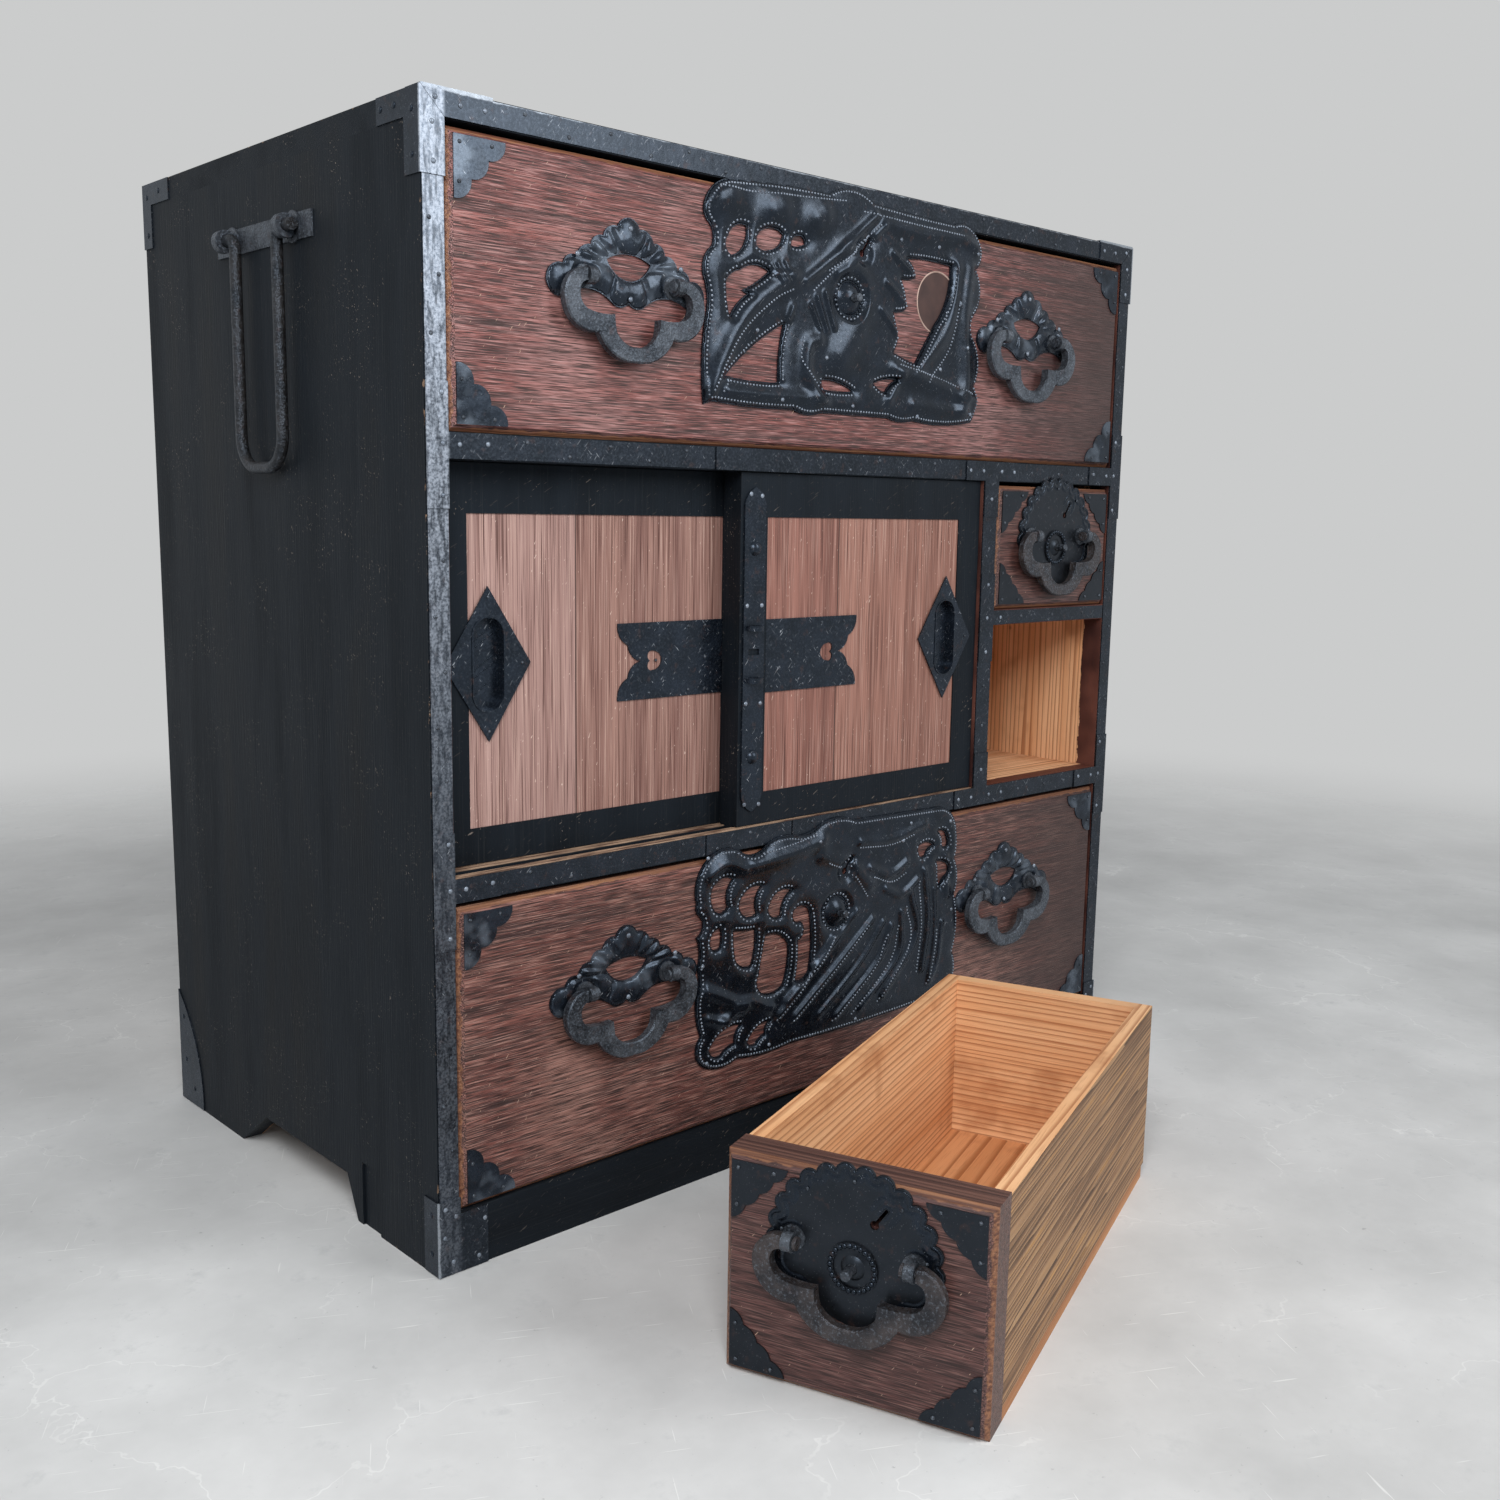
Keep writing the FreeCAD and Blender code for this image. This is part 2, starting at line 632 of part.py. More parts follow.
def carrying_handles():
    plate = box(left - plate_t, left, grip_y - grip_plate_w / 2, grip_y + grip_plate_w / 2,
                grip_z - grip_plate_h / 2, grip_z + grip_plate_h / 2)
    posts = [moved(grip_post(), y=grip_y + s * grip_span / 2, z=grip_z) for s in (-1, 1)]
    bail = moved(grip_bail(), y=grip_y - grip_slip, z=grip_z)
    save("side_handle_mounts",
         group([plate, mirrored(plate)] + posts + [mirrored(post) for post in posts]))
    save("side_bail_left", bail)
    save("side_bail_right", mirrored(bail))


# ---------------------------------------------------------------- parts of a drawer
# A drawer is drawn about the middle of its front's bottom edge: x to the right, y to
# the back from the face of the front, z up.
def bail():
    """Flat forged bail about its hinge line, with a pin and a knob at each end."""
    pin_in = post_span / 2 - eye_w / 2 - side_play - knob_w
    bar_in = post_span / 2 + eye_w / 2 + side_play
    top, waist, foot = bail_end_z
    outer = bail_outer_half + [((bar_in + bail_outer_half[-1][0]) / 2, top), (bar_in, top)]
    inner = bail_inner_half + [((bar_in + bail_inner_half[-1][0]) / 2, waist), (bar_in, foot)]
    end = [(bar_in, 0)]
    right_edge = outer + end + inner[::-1]
    at = [V(x, 0, z) for x, z in right_edge]
    half = [edge_through(at[i], at[i + 1], at[i + 2]) for i in range(0, len(at) - 1, 2)]
    other = [edge.mirror(V(0, 0, 0), X_AXIS) for edge in half]
    ring = Part.Wire(Part.__sortEdges__(half + other))
    bar = Part.Face(ring).extrude(V(0, -bail_t, 0))
    eased = [edge for edge in bar.Edges if edge.Length > bail_eased_from]
    bar = moved(bar.makeChamfer(bail_edge, eased), y=bail_t / 2)
    pins = []
    for s in (-1, 1):
        pins.append(rod(pin_r, V(s * pin_in, 0, 0), V(s * (bar_in + pin_root), 0, 0)))
        pins.append(rod(knob_r, V(s * pin_in, 0, 0), V(s * (pin_in + knob_w), 0, 0)))
    return fused([bar] + pins)


def eye_post():
    """Split post: eye, washer on the plate, stem through the front, legs bent apart."""
    y_eye = -plate_t - hinge_out
    eye = rod(eye_r, V(-eye_w / 2, y_eye, 0), V(eye_w / 2, y_eye, 0))
    bore = rod(pin_r + fit_clear, V(-eye_w, y_eye, 0), V(eye_w, y_eye, 0))
    washer = rod(post_washer_r, V(0, -plate_t - post_washer_t, 0), V(0, -plate_t, 0))
    stem = rod(post_r, V(0, y_eye + pin_r + pin_root, 0), V(0, front_t + clinch_t, 0))
    legs = box(-clinch_l, clinch_l, front_t, front_t + clinch_t, -clinch_w / 2, clinch_w / 2)
    return fused([eye, washer, stem, legs]).cut(bore)


def corner_iron(leg_x, leg_z, count, bulge):
    """Scalloped corner plate: its right-angled corner is at the top left."""
    return sheet(outline([(0, 0), (leg_x / 2, 0)] + lobes((leg_x, 0), (0, -leg_z), count, bulge)
                         + [(0, -leg_z), (0, -leg_z / 2)]), strap_t)


def corner_irons(width, height, leg, count, bulge):
    """Four corner plates, inside the bevel of the front."""
    x = width / 2 - front_bevel
    one = moved(corner_iron(leg, leg, count, bulge), -x, 0, height / 2 - front_bevel)
    pair = [one, mirrored(one)]
    four = pair + [mirrored(piece, Z_AXIS) for piece in pair]
    return group([moved(piece, z=height / 2) for piece in four])


def keyhole(at, y0, y1):
    """Round hole with a slanting slot, as a cutting tool from y0 to y1."""
    slot = box(-key_slot_w / 2, key_slot_w / 2, y0, y1, 0, key_slot_l)
    slot.rotate(V(0, 0, 0), Y_AXIS, key_slot_turn)
    return moved(rod(key_r, V(0, y0, 0), V(0, y1, 0)).fuse(slot), x=at[0], z=at[1])


def dome(radius, height):
    """Low spherical boss on a plate."""
    ball = (radius ** 2 + height ** 2) / (2 * height)
    sphere = Part.makeSphere(ball, V(0, ball - height - plate_t, 0))
    return sphere.common(box(-radius, radius, -height - plate_t, -plate_t, -radius, radius))


def lock_plate(edge, gaps, key_at):
    """Openwork plate about the lock's centre, with the boss that its button stands in."""
    plate = sheet(outline(edge), plate_t, [outline(gap) for gap in gaps])
    way = rod(button_r + button_clear, V(0, -lock_dome_h - 2 * plate_t, 0), V(0, 1, 0))
    boss = dome(lock_dome_r, lock_dome_h)
    return fused([plate, boss]).cut([way, keyhole(key_at, -plate_t, 0)])


def small_plate_edge():
    """Round plate with a scalloped rim that narrows to a point under the hinge line."""
    r = small_plate_r
    out = r + small_plate_bulge
    first, sweep = [math.radians(a) for a in small_plate_sweep]
    turn = sweep / small_plate_lobes
    points = []
    for k in range(small_plate_lobes):
        a = first + k * turn
        points.append((r * math.cos(a), r * math.sin(a)))
        points.append((out * math.cos(a + turn / 2), out * math.sin(a + turn / 2)))
    a = first + sweep
    end = (r * math.cos(a), r * math.sin(a))
    foot = small_plate_foot
    return points + [end] + [(-x, z) for x, z in foot[:3]] + foot[:0:-1] + foot[:1]


def small_lock_plate():
    """Plate of a small drawer about the lock's centre, with a raised ring round it."""
    plate = moved(sheet(outline(small_plate_edge()), plate_t), z=small_plate_rise)
    ring = rod(rosette_r, V(0, -plate_t - rosette_h, 0), V(0, -plate_t, 0))
    ring = ring.cut(rod(rosette_r - rosette_w, V(0, -plate_t - rosette_h, 0), V(0, -plate_t, 0)))
    way = rod(button_r + button_clear, V(0, -2 * plate_t - lock_dome_h, 0), V(0, 1, 0))
    boss = dome(small_dome_r, small_dome_h)
    key = keyhole(small_key_at, -plate_t, 0)
    holes = [moved(post_hole(), x=s * post_span / 2, z=small_lock_drop - small_handle_drop)
             for s in (-1, 1)]
    return fused([plate, ring, boss]).cut([way, key] + holes)


def button():
    """Push button of a lock: a round pin through the plate and the front."""
    pin = rod(button_r, V(0, -button_out, 0), V(0, front_t + button_in, 0))
    return pin.makeChamfer(button_eased, [edge for edge in pin.Edges if edge.BoundBox.YMax < 0])


def lock_case(width, key_at):
    """Iron case of the lock inside the front, with blind ways for the button and the key."""
    top = key_at[1] + lock_case_above
    body = box(-width / 2, width / 2, front_t, front_t + lock_case_t, -lock_case_below, top)
    bolt_y = front_t + (lock_case_t - bolt_t) / 2
    bolt = box(-bolt_w / 2, bolt_w / 2, bolt_y, bolt_y + bolt_t, top, top + bolt_out)
    deep = front_t + button_in + button_travel + button_end_clear
    way = rod(button_r + button_clear, V(0, front_t, 0), V(0, deep, 0))
    return fused([body, bolt]).cut([way, keyhole(key_at, front_t, front_t + key_deep)])


def post_hole():
    return rod(post_r + hole_clear, V(0, -plate_t, 0), V(0, front_t, 0))


def bevelled_front(width, height, holes):
    """Front board with its front arris bevelled all round, drilled where irons pass."""
    board = box(-width / 2, width / 2, 0, front_t, 0, height)
    rim = [edge for edge in board.Edges if edge.BoundBox.YMax < 0.01]
    return board.makeChamfer(front_bevel, rim).cut(holes)


def drawer_box(width, height):
    """Two sides and a back on a floor that shows along the bottom edge."""
    half = width / 2
    y0, y1 = front_t, drawer_len
    z0, z1 = floor_t, height - wall_drop
    return group([
        box(-half, -half + wall_t, y0, y1, z0, z1),
        box(half - wall_t, half, y0, y1, z0, z1),
        box(-half + wall_t, half - wall_t, y1 - wall_t, y1, z0, z1),
        box(-half, half, y0, y1 - floor_short, 0, floor_t)])


def button_hole():
    return rod(button_r + button_clear, V(0, -1, 0), V(0, front_t, 0))


def wide_drawer(height, edge, gaps, key_at, lock_at, disc_at=None):
    """All the pieces of a drawer over the full width, by name."""
    width = inner_right - inner_left - 2 * gap_side
    hinge = (handle_x, -plate_t - hinge_out, height - handle_drop)
    post_at = [(s * handle_x + t * post_span / 2, hinge[2]) for s in (-1, 1) for t in (-1, 1)]
    lock_x, lock_z = lock_at
    holes = [moved(post_hole(), x=x, z=z) for x, z in post_at]
    holes.append(moved(button_hole(), x=lock_x, z=lock_z))
    holes.append(moved(keyhole(key_at, 0, front_t), x=lock_x, z=lock_z))
    pull = sheet(outline(both_ways(pull_plate_half)), plate_t, [outline(pull_plate_gap)])
    pulls = [moved(pull, x=s * handle_x, z=hinge[2]).cut(holes) for s in (-1, 1)]
    one_bail = moved(bail(), 0, hinge[1], hinge[2])
    pieces = {
        "box": drawer_box(width, height),
        "corner_irons": corner_irons(width, height, corner_leg, corner_lobes, corner_bulge),
        "lock_plate": moved(lock_plate(edge, gaps, key_at), x=lock_x, z=lock_z),
        "lock_case": moved(lock_case(lock_case_w, key_at), x=lock_x, z=lock_z),
        "lock_button": moved(button(), x=lock_x, z=lock_z),
        "pull_plates": group(pulls),
        "pull_posts": group([moved(eye_post(), x=x, z=z) for x, z in post_at]),
        "bail_left": moved(one_bail, x=-hinge[0]),
        "bail_right": moved(one_bail, x=hinge[0])}
    if disc_at:
        at = V(lock_x + disc_at[0], 0, lock_z + disc_at[1])
        inlay = rod(disc_r, at, at + V(0, disc_t, 0))
        pieces["moon_disc"] = inlay
        holes.append(inlay)
    pieces["front"] = bevelled_front(width, height, holes)
    return pieces


def small_drawer(height):
    """All the pieces of a drawer in the narrow column, by name."""
    width = small_space_w - 2 * gap_side
    hinge_z = height - small_handle_drop
    lock_z = height - small_lock_drop
    post_x = (-post_span / 2, post_span / 2)
    holes = [moved(post_hole(), x=x, z=hinge_z) for x in post_x]
    holes.append(moved(button_hole(), z=lock_z))
    holes.append(moved(keyhole(small_key_at, 0, front_t), z=lock_z))
    return {
        "front": bevelled_front(width, height, holes),
        "box": drawer_box(width, height),
        "corner_irons": corner_irons(width, height, small_corner_leg, small_corner_lobes,
                                     small_corner_bulge),
        "lock_plate": moved(small_lock_plate(), z=lock_z),
        "lock_case": moved(lock_case(small_lock_case_w, small_key_at), z=lock_z),
        "lock_button": moved(button(), z=lock_z),
        "pull_posts": group([moved(eye_post(), x=x, z=hinge_z) for x in post_x]),
        "bail": moved(bail(), 0, -plate_t - hinge_out, hinge_z)}


def place_drawer(name, pieces, at, turn=0.0):
    for piece, shape in pieces.items():
        placed = shape.copy()
        placed.rotate(V(0, 0, 0), Z_AXIS, turn)
        save("%s_%s" % (name, piece), placed.translated(at))


def drawers():
    y = front - front_proud
    top_h = top_space_h - gap_top - gap_under
    bottom_h = bottom_space_h - gap_top - gap_under
    place_drawer("top_drawer", wide_drawer(
        top_h, top_plate_edge, top_plate_gaps, top_key_at,
        (top_lock_x, top_h - top_lock_drop), top_disc_at), V(0, y, top_space_z + gap_under))
    place_drawer("bottom_drawer", wide_drawer(
        bottom_h, bottom_plate_edge, bottom_plate_gaps, bottom_key_at,
        (bottom_lock_x, bottom_h - bottom_lock_drop)), V(0, y, base_h + gap_under))
    small_mid = small_x + small_space_w / 2
    place_drawer("upper_small", small_drawer(upper_small_h - gap_top - gap_under),
                 V(small_mid, y, upper_small_z + gap_under))
    corner = V(left + loose_from_left, front - loose_ahead, 0)
    turn = math.radians(loose_turn)
    half = small_space_w / 2 - gap_side
    middle = corner + V(math.cos(turn) * half, math.sin(turn) * half, 0)
    place_drawer("loose_drawer", small_drawer(open_space_h - gap_top - gap_under),
                 middle, loose_turn)


# ---------------------------------------------------------------- sliding doors
# A door is drawn about the middle of its bottom edge, y to the back from its face.
door_w = (door_space_w - 2 * door_clear + door_lap) / 2
door_h = door_space_h - 2 * door_clear


def door_frame():
    """Two stiles, a head and a foot. Tongues run along the top and bottom edges."""
    half = door_w / 2
    inner = half - stile_w
    y0 = (door_t - tongue_t) / 2
    boards = []
    for x0, x1, z0, z1 in ((-half, -inner, 0, door_h), (inner, half, 0, door_h),
                           (-inner, inner, door_h - door_top_w, door_h),
                           (-inner, inner, 0, door_foot_w)):
        low = z0 - tongue_down if z0 == 0 else z0
        high = z1 + tongue_up if z1 == door_h else z1
        board = box(x0, x1, 0, door_t, z0, z1)
        boards.append(fused([board, box(x0, x1, y0, y0 + tongue_t, low, high)]))
    return group(boards)


def door_panel():
    edge = door_w / 2 - stile_w + panel_tongue
    return box(-edge, edge, panel_recess, panel_recess + panel_t,
               door_foot_w - panel_tongue, door_h - door_top_w + panel_tongue)


def stadium(radius, half):
    """Upright slot outline with round ends."""
    straight = half - radius
    return outline([(radius, -straight), (radius, 0), (radius, straight), (0, half),
                    (-radius, straight), (-radius, 0), (-radius, -straight), (0, -half)])


def cup_block(grow, y0, y1):
    flat = Part.Face(stadium(cup_r + grow, cup_half + grow)).extrude(V(0, y1 - y0, 0))
    return moved(flat, y=y0)


def finger_pull():
    """Rhombic plate with a sunk oval cup and a raised rim round it."""
    hx, hz = pull_rhomb
    plate = sheet(polygon([(hx, 0), (0, hz), (-hx, 0), (0, -hz)]), pull_plate_t)
    rim = cup_block(cup_wall, -pull_plate_t - cup_rim, 0)
    shell = cup_block(cup_wall, 0, cup_deep + cup_wall)
    hollow = cup_block(0, -2 * pull_plate_t, cup_deep)
    return fused([plate, rim, shell]).cut(hollow)


def tail_plate():
    """Swallow-tailed plate with a heart-shaped hole, its straight end at x = 0."""
    grow = tail_reach / -swallow_tail[2][0]
    edge = [(x * grow, z) for x, z in swallow_tail]
    heart = [(x * grow, z) for x, z in tail_heart]
    return moved(sheet(outline(edge), tail_plate_t, [outline(heart)]), y=panel_recess)


def staple():
    """Half ring that stands out of the lock bar."""
    foot = V(0, -plate_t, -staple_w / 2)
    ring = Part.makeCylinder(staple_h, staple_w, foot, Z_AXIS, 180)
    hole = Part.makeCylinder(staple_h - staple_t, staple_w, foot, Z_AXIS, 180)
    half = ring.cut(hole)
    half.rotate(V(0, -plate_t, 0), Z_AXIS, 180)
    return half


def lock_bar():
    """Bar over the meeting stile: pointed at both ends, two studs, two staples, a key slot."""
    w, h = bar_w / 2, bar_h / 2
    neck = w * bar_shoulder
    ogee = [(w, h - 2 * bar_tip), (neck, h - bar_tip), (0, h),
            (-neck, h - bar_tip), (-w, h - 2 * bar_tip), (-w, 0)]
    edge = ogee + [(x, -z) for x, z in ogee[4::-1]] + [(w, 0)]
    bar = sheet(outline(edge), plate_t, [rect(-bar_key[0] / 2, bar_key[0] / 2,
                                              -bar_key[1] / 2, bar_key[1] / 2)])
    studs = [moved(dome(bar_stud_r, bar_stud_h), z=z) for z in bar_studs]
    loops = [moved(staple(), z=z) for z in bar_staples]
    return group([bar] + studs + loops)


def place_door(name, middle_x, y, outward):
    """outward is -1 for the left door, whose pull is at its left, and 1 for the right."""
    at = V(middle_x, y, door_z + door_clear)
    pull_x = outward * (door_w / 2 - pull_from_edge)
    pull_h = pull_z - door_clear
    cup = moved(cup_block(cup_wall, 0, cup_deep + cup_wall), x=pull_x, z=pull_h)
    tail = tail_plate() if outward < 0 else mirrored(tail_plate())
    tail = moved(tail, x=-outward * (door_w / 2 - stile_w), z=tail_z - door_clear)
    panel = door_panel()
    save(name + "_frame", door_frame().cut(panel).translated(at))
    save(name + "_panel", panel.cut(cup).translated(at))
    save(name + "_irons",
         group([moved(finger_pull(), x=pull_x, z=pull_h), tail]).translated(at))


def doors():
    y = front + door_recess
    left_mid = inner_left + door_clear + door_w / 2
    right_mid = divider_x - door_clear - door_w / 2
    place_door("left_door", left_mid, y + door_t + door_gap, -1)
    place_door("right_door", right_mid, y, 1)
    bar_x = right_mid - door_w / 2 + stile_w / 2
    save("lock_bar", moved(lock_bar(), bar_x, y, door_z + door_space_h / 2))


os.makedirs("parts", exist_ok=True)
case_boards()
case_iron()
carrying_handles()
drawers()
doors()
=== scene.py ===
import math
from functools import partial

import bpy
import numpy as np
from mathutils import Matrix


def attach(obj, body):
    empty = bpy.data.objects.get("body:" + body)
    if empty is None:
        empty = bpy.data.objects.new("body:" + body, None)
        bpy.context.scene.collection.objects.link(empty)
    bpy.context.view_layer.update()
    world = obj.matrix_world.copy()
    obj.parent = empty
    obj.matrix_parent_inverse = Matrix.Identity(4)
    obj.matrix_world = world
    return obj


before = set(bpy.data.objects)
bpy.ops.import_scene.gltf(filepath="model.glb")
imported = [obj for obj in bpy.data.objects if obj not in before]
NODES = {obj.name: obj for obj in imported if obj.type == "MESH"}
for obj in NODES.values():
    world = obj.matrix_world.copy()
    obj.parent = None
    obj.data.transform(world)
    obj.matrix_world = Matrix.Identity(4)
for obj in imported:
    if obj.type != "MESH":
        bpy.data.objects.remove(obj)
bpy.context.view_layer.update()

MM = 0.001
# The case, in mm: half its width, front, back and top; then the heights of the base rail's
# top, of the lower rail's top and of the top board's underside, and the divider's sides.
WIDE, FRONT, BACK, TOP = 300.0, -10.0, 324.0, 606.0
BASE_TOP, SILL, TOP_BOARD = 34.0, 218.0, 593.0
DIVIDER, SMALL = 137.0, 152.5
# Faces of the straps, of the sleeves over them at the front, and of those folded round the
# side, then the thickness of the drawers' plates and of the doors' irons.
STRAP_FACE, SLEEVE_FACE, SIDE_FACE = FRONT - 0.8, FRONT - 1.6, WIDE + 0.8
PLATE, DOOR_IRON = 1.2, 0.9
SMALL_FRONT = 100.0             # a drawer front of less than this half width is a small one

# Each drawer's own x, y, z start at the middle of its front's bottom edge: that place
# and the turn about z. Sizes are the front's half width and height.
CASE = ((0.0, 0.0, 0.0), 0.0)
DRAWERS = {
    "top_drawer": (((0.0, FRONT - 1.1, 445.8), 0.0), (286.0, 144.5)),
    "bottom_drawer": (((0.0, FRONT - 1.1, 34.3), 0.0), (286.0, 167.5)),
    "upper_small": (((219.75, FRONT - 1.1, 343.4), 0.0), (66.25, 85.9)),
    "loose_drawer": (((-219.0, -235.36, 0.0), math.radians(-69.5)), (66.25, 111.4))}


# ---- shader nodes
def hue(code):
    """Linear colour of an sRGB hex value."""
    parts = [int(code[i:i + 2], 16) / 255 for i in (1, 3, 5)]
    return [c / 12.92 if c <= 0.04045 else ((c + 0.055) / 1.055) ** 2.4 for c in parts] + [1.0]


def add(tree, kind, *values, out=None, stops=(), **settings):
    """Adds a node with its settings and fills its open inputs in order.

    kind is a node's name, or that name and a dictionary of settings. A value is a number,
    a tuple, a hex colour or another node's output, and None leaves an input as it is.
    Returns the first open output, or the outputs named in out.
    """
    kind, preset = kind if isinstance(kind, tuple) else (kind, {})
    node = tree.nodes.new("ShaderNode" + kind)
    for name, value in {**preset, **settings}.items():
        setattr(node, name, value)
    for _ in stops[2:]:
        node.color_ramp.elements.new(0.5)
    for point, (place, code) in zip(node.color_ramp.elements if stops else (), stops):
        point.position = place
        point.color = hue(code)
    for socket, value in zip([s for s in node.inputs if s.enabled], values):
        if isinstance(value, bpy.types.NodeSocket):
            tree.links.new(value, socket)
        elif value is not None:
            socket.default_value = hue(value) if isinstance(value, str) else value
    if out:
        return [node.outputs[name] for name in out]
    return [s for s in node.outputs if s.enabled][0]


# Kinds of node with a setting.
SMOOTH = "MapRange", {"interpolation_type": "SMOOTHSTEP"}
MIX = "Mix", {"data_type": "RGBA"}
SCALE = "VectorMath", {"operation": "MULTIPLY"}
TIMES, LESS, SIZE, SUM, LEAST, MOST, OVER, UNDER = (("Math", {"operation": name}) for name in (
    "MULTIPLY", "SUBTRACT", "ABSOLUTE", "MULTIPLY_ADD", "MINIMUM", "MAXIMUM", "GREATER_THAN",
    "LESS_THAN"))


def finish(name, **sockets):
    """New material whose Principled shader has the given plain values on its own sockets.

    Returns the material, add() bound to its tree, and the shader.
    """
    material = bpy.data.materials.new(name)
    material.use_nodes = True
    tree = material.node_tree
    shader = tree.nodes["Principled BSDF"]
    for socket, value in sockets.items():
        shader.inputs[socket.replace("_", " ")].default_value = value
    return material, partial(add, tree), shader


def surface(node, shader, colour, rough, height, depth):
    """Links a material's colour, roughness, and bump of a depth in millimetres.

    The height also sets the width of the bump's filter, so that high spots are softer.
    """
    bump = node("Bump", 1.0, depth * MM, height, height)
    for socket, value in (("Base Color", colour), ("Roughness", rough), ("Normal", bump)):
        if value is not None:
            shader.id_data.links.new(value, shader.inputs[socket])


def own_mm(node, place=CASE):
    """Millimetre coordinates about a piece's own start and turn."""
    start, turn = place
    spot = node("TexCoord", out=["Object"])[0]
    spot = node("Mapping", spot, [-v * MM for v in start])
    spot = node("Mapping", spot, None, (0.0, 0.0, -turn))
    return node(SCALE, spot, (1000.0, 1000.0, 1000.0))


def fibre(node, at, size, along, long, detail=3.0):
    """Streaks of a width in mm, drawn out along one axis such as "x", or two such as "xy"."""
    squeeze = [1.0 / long if axis in along else 1.0 for axis in "xyz"]
    drawn = node(SCALE, at, squeeze)
    return node("TexNoise", drawn, 1.0 / size, detail, 0.6)


def rings(node, at, along, across, width, wander, long=26.0):
    """Growth rings of a sawn board, 0 at early wood and 1 at the hard late wood's edge.

    The phase is the place across the grain, pushed by slow noise drawn out along it.
    """
    spot = node("SeparateXYZ", at, out="XYZ")["xyz".index(across)]
    sway = fibre(node, at, width * 6.0, along, long)
    moved = node(SUM, sway, wander, spot)
    turns = node("Math", moved, width, operation="DIVIDE")
    return node("Math", turns, operation="FRACT")


def coats(node, tint, *layers):
    """Lays thin coats over a colour in turn.

    Each is a pattern, its values where the coat begins and where it is full, the strength
    of the full coat, and its colour.
    """
    for pattern, begins, full, strength, colour in layers:
        mask = node(SMOOTH, pattern, begins, full, 0.0, strength)
        tint = node(MIX, mask, tint, colour)
    return tint


def scored(node, at, tint, sets, size, long, strength, colour):
    """Sparse thin strokes over a colour: noise drawn out along a slanted direction, and cut
    high. sets has that direction's turn and the cut, for each set of strokes."""
    for turn, cut in sets:
        slant = node("Mapping", at, None, turn)
        strokes = fibre(node, slant, size, "x", long, 1.0)
        tint = coats(node, tint, (strokes, cut, cut + 0.04, strength, colour))
    return tint


# ---- woods
def stained_wood(name, place, size, tones, worn):
    """Paulownia drawer front, wire-brushed, stained dark red-brown, worn by hands.

    The soft wood's short pores are sunk and dark, and the hard lines are rubbed paler and
    pinkish. size is the half width and height. tones are three hex colours from dark to
    mid, and worn is the pale colour of the rubbed lines, also laid in soft patches as a
    painted sheen. Only the front arris is bare. Wide fronts are painted darker towards their
    right end: painted shade of the light falling off.
    """
    material, node, shader = finish(name, Specular_IOR_Level=0.5)
    wide, tall = size
    at = own_mm(node, place)
    x, y, z = node("SeparateXYZ", at, out="XYZ")
    slow = fibre(node, at, 4.5, "x", 110.0)
    broad = fibre(node, at, 1.5, "x", 120.0, 2.0)
    fine = fibre(node, at, 0.6, "x", 32.0, 2.0)
    # Soft random patches in the pale worn colour: a painted sheen, not wear.
    painted_sheen = node("TexNoise", at, 1.0 / 80.0, 3.0, 0.6)
    late = rings(node, at, "x", "z", 7.5, 46.0, 34.0)
    tint = node("ValToRGB", slow, stops=list(zip((0.38, 0.5, 0.62), tones)))
    tint = coats(node, tint, (painted_sheen, 0.44, 0.7, 0.5, worn), (late, 0.72, 0.98, 0.5, "#331b19"),
                 (broad, 0.52, 0.68, 0.4, worn), (fine, 0.53, 0.4, 0.92, "#26120f"),
                 (fine, 0.55, 0.68, 0.75, worn))
    tint = scored(node, at, tint, [((0.3, 0.9, 0.2), 0.75)], 0.7, 7.0, 1.0, "#b99a86")
    # Painted shade: wide fronts darken towards their right end, standing in for the light falling
    # off across the front.
    if wide > SMALL_FRONT:
        tint = coats(node, tint, (x, 0.3 * wide, wide, 0.9, "#2b1715"))
    side = node(LESS, wide, node(SIZE, x))
    rise = node(LEAST, z, node(LESS, tall, z))
    chipped = node("TexNoise", at, 1.0 / 6.0, 4.0)
    bare = node(SUM, chipped, -3.4, node(LEAST, side, rise))
    rim = node("ValToRGB", broad, stops=[(0.35, "#5b3524"), (0.65, "#9a6a49")])
    aged = node("ValToRGB", broad, stops=[(0.35, "#3a2521"), (0.65, "#6a4b41")])
    tint = coats(node, tint, (bare, 0.8, 0.0, 0.8, rim), (y, 3.8, 4.6, 1.0, aged))
    rough = node("MapRange", fine, 0.3, 0.7, 0.58, 0.36)
    surface(node, shader, tint, rough, node(SUM, broad, 0.6, fine), 0.45)
    return material


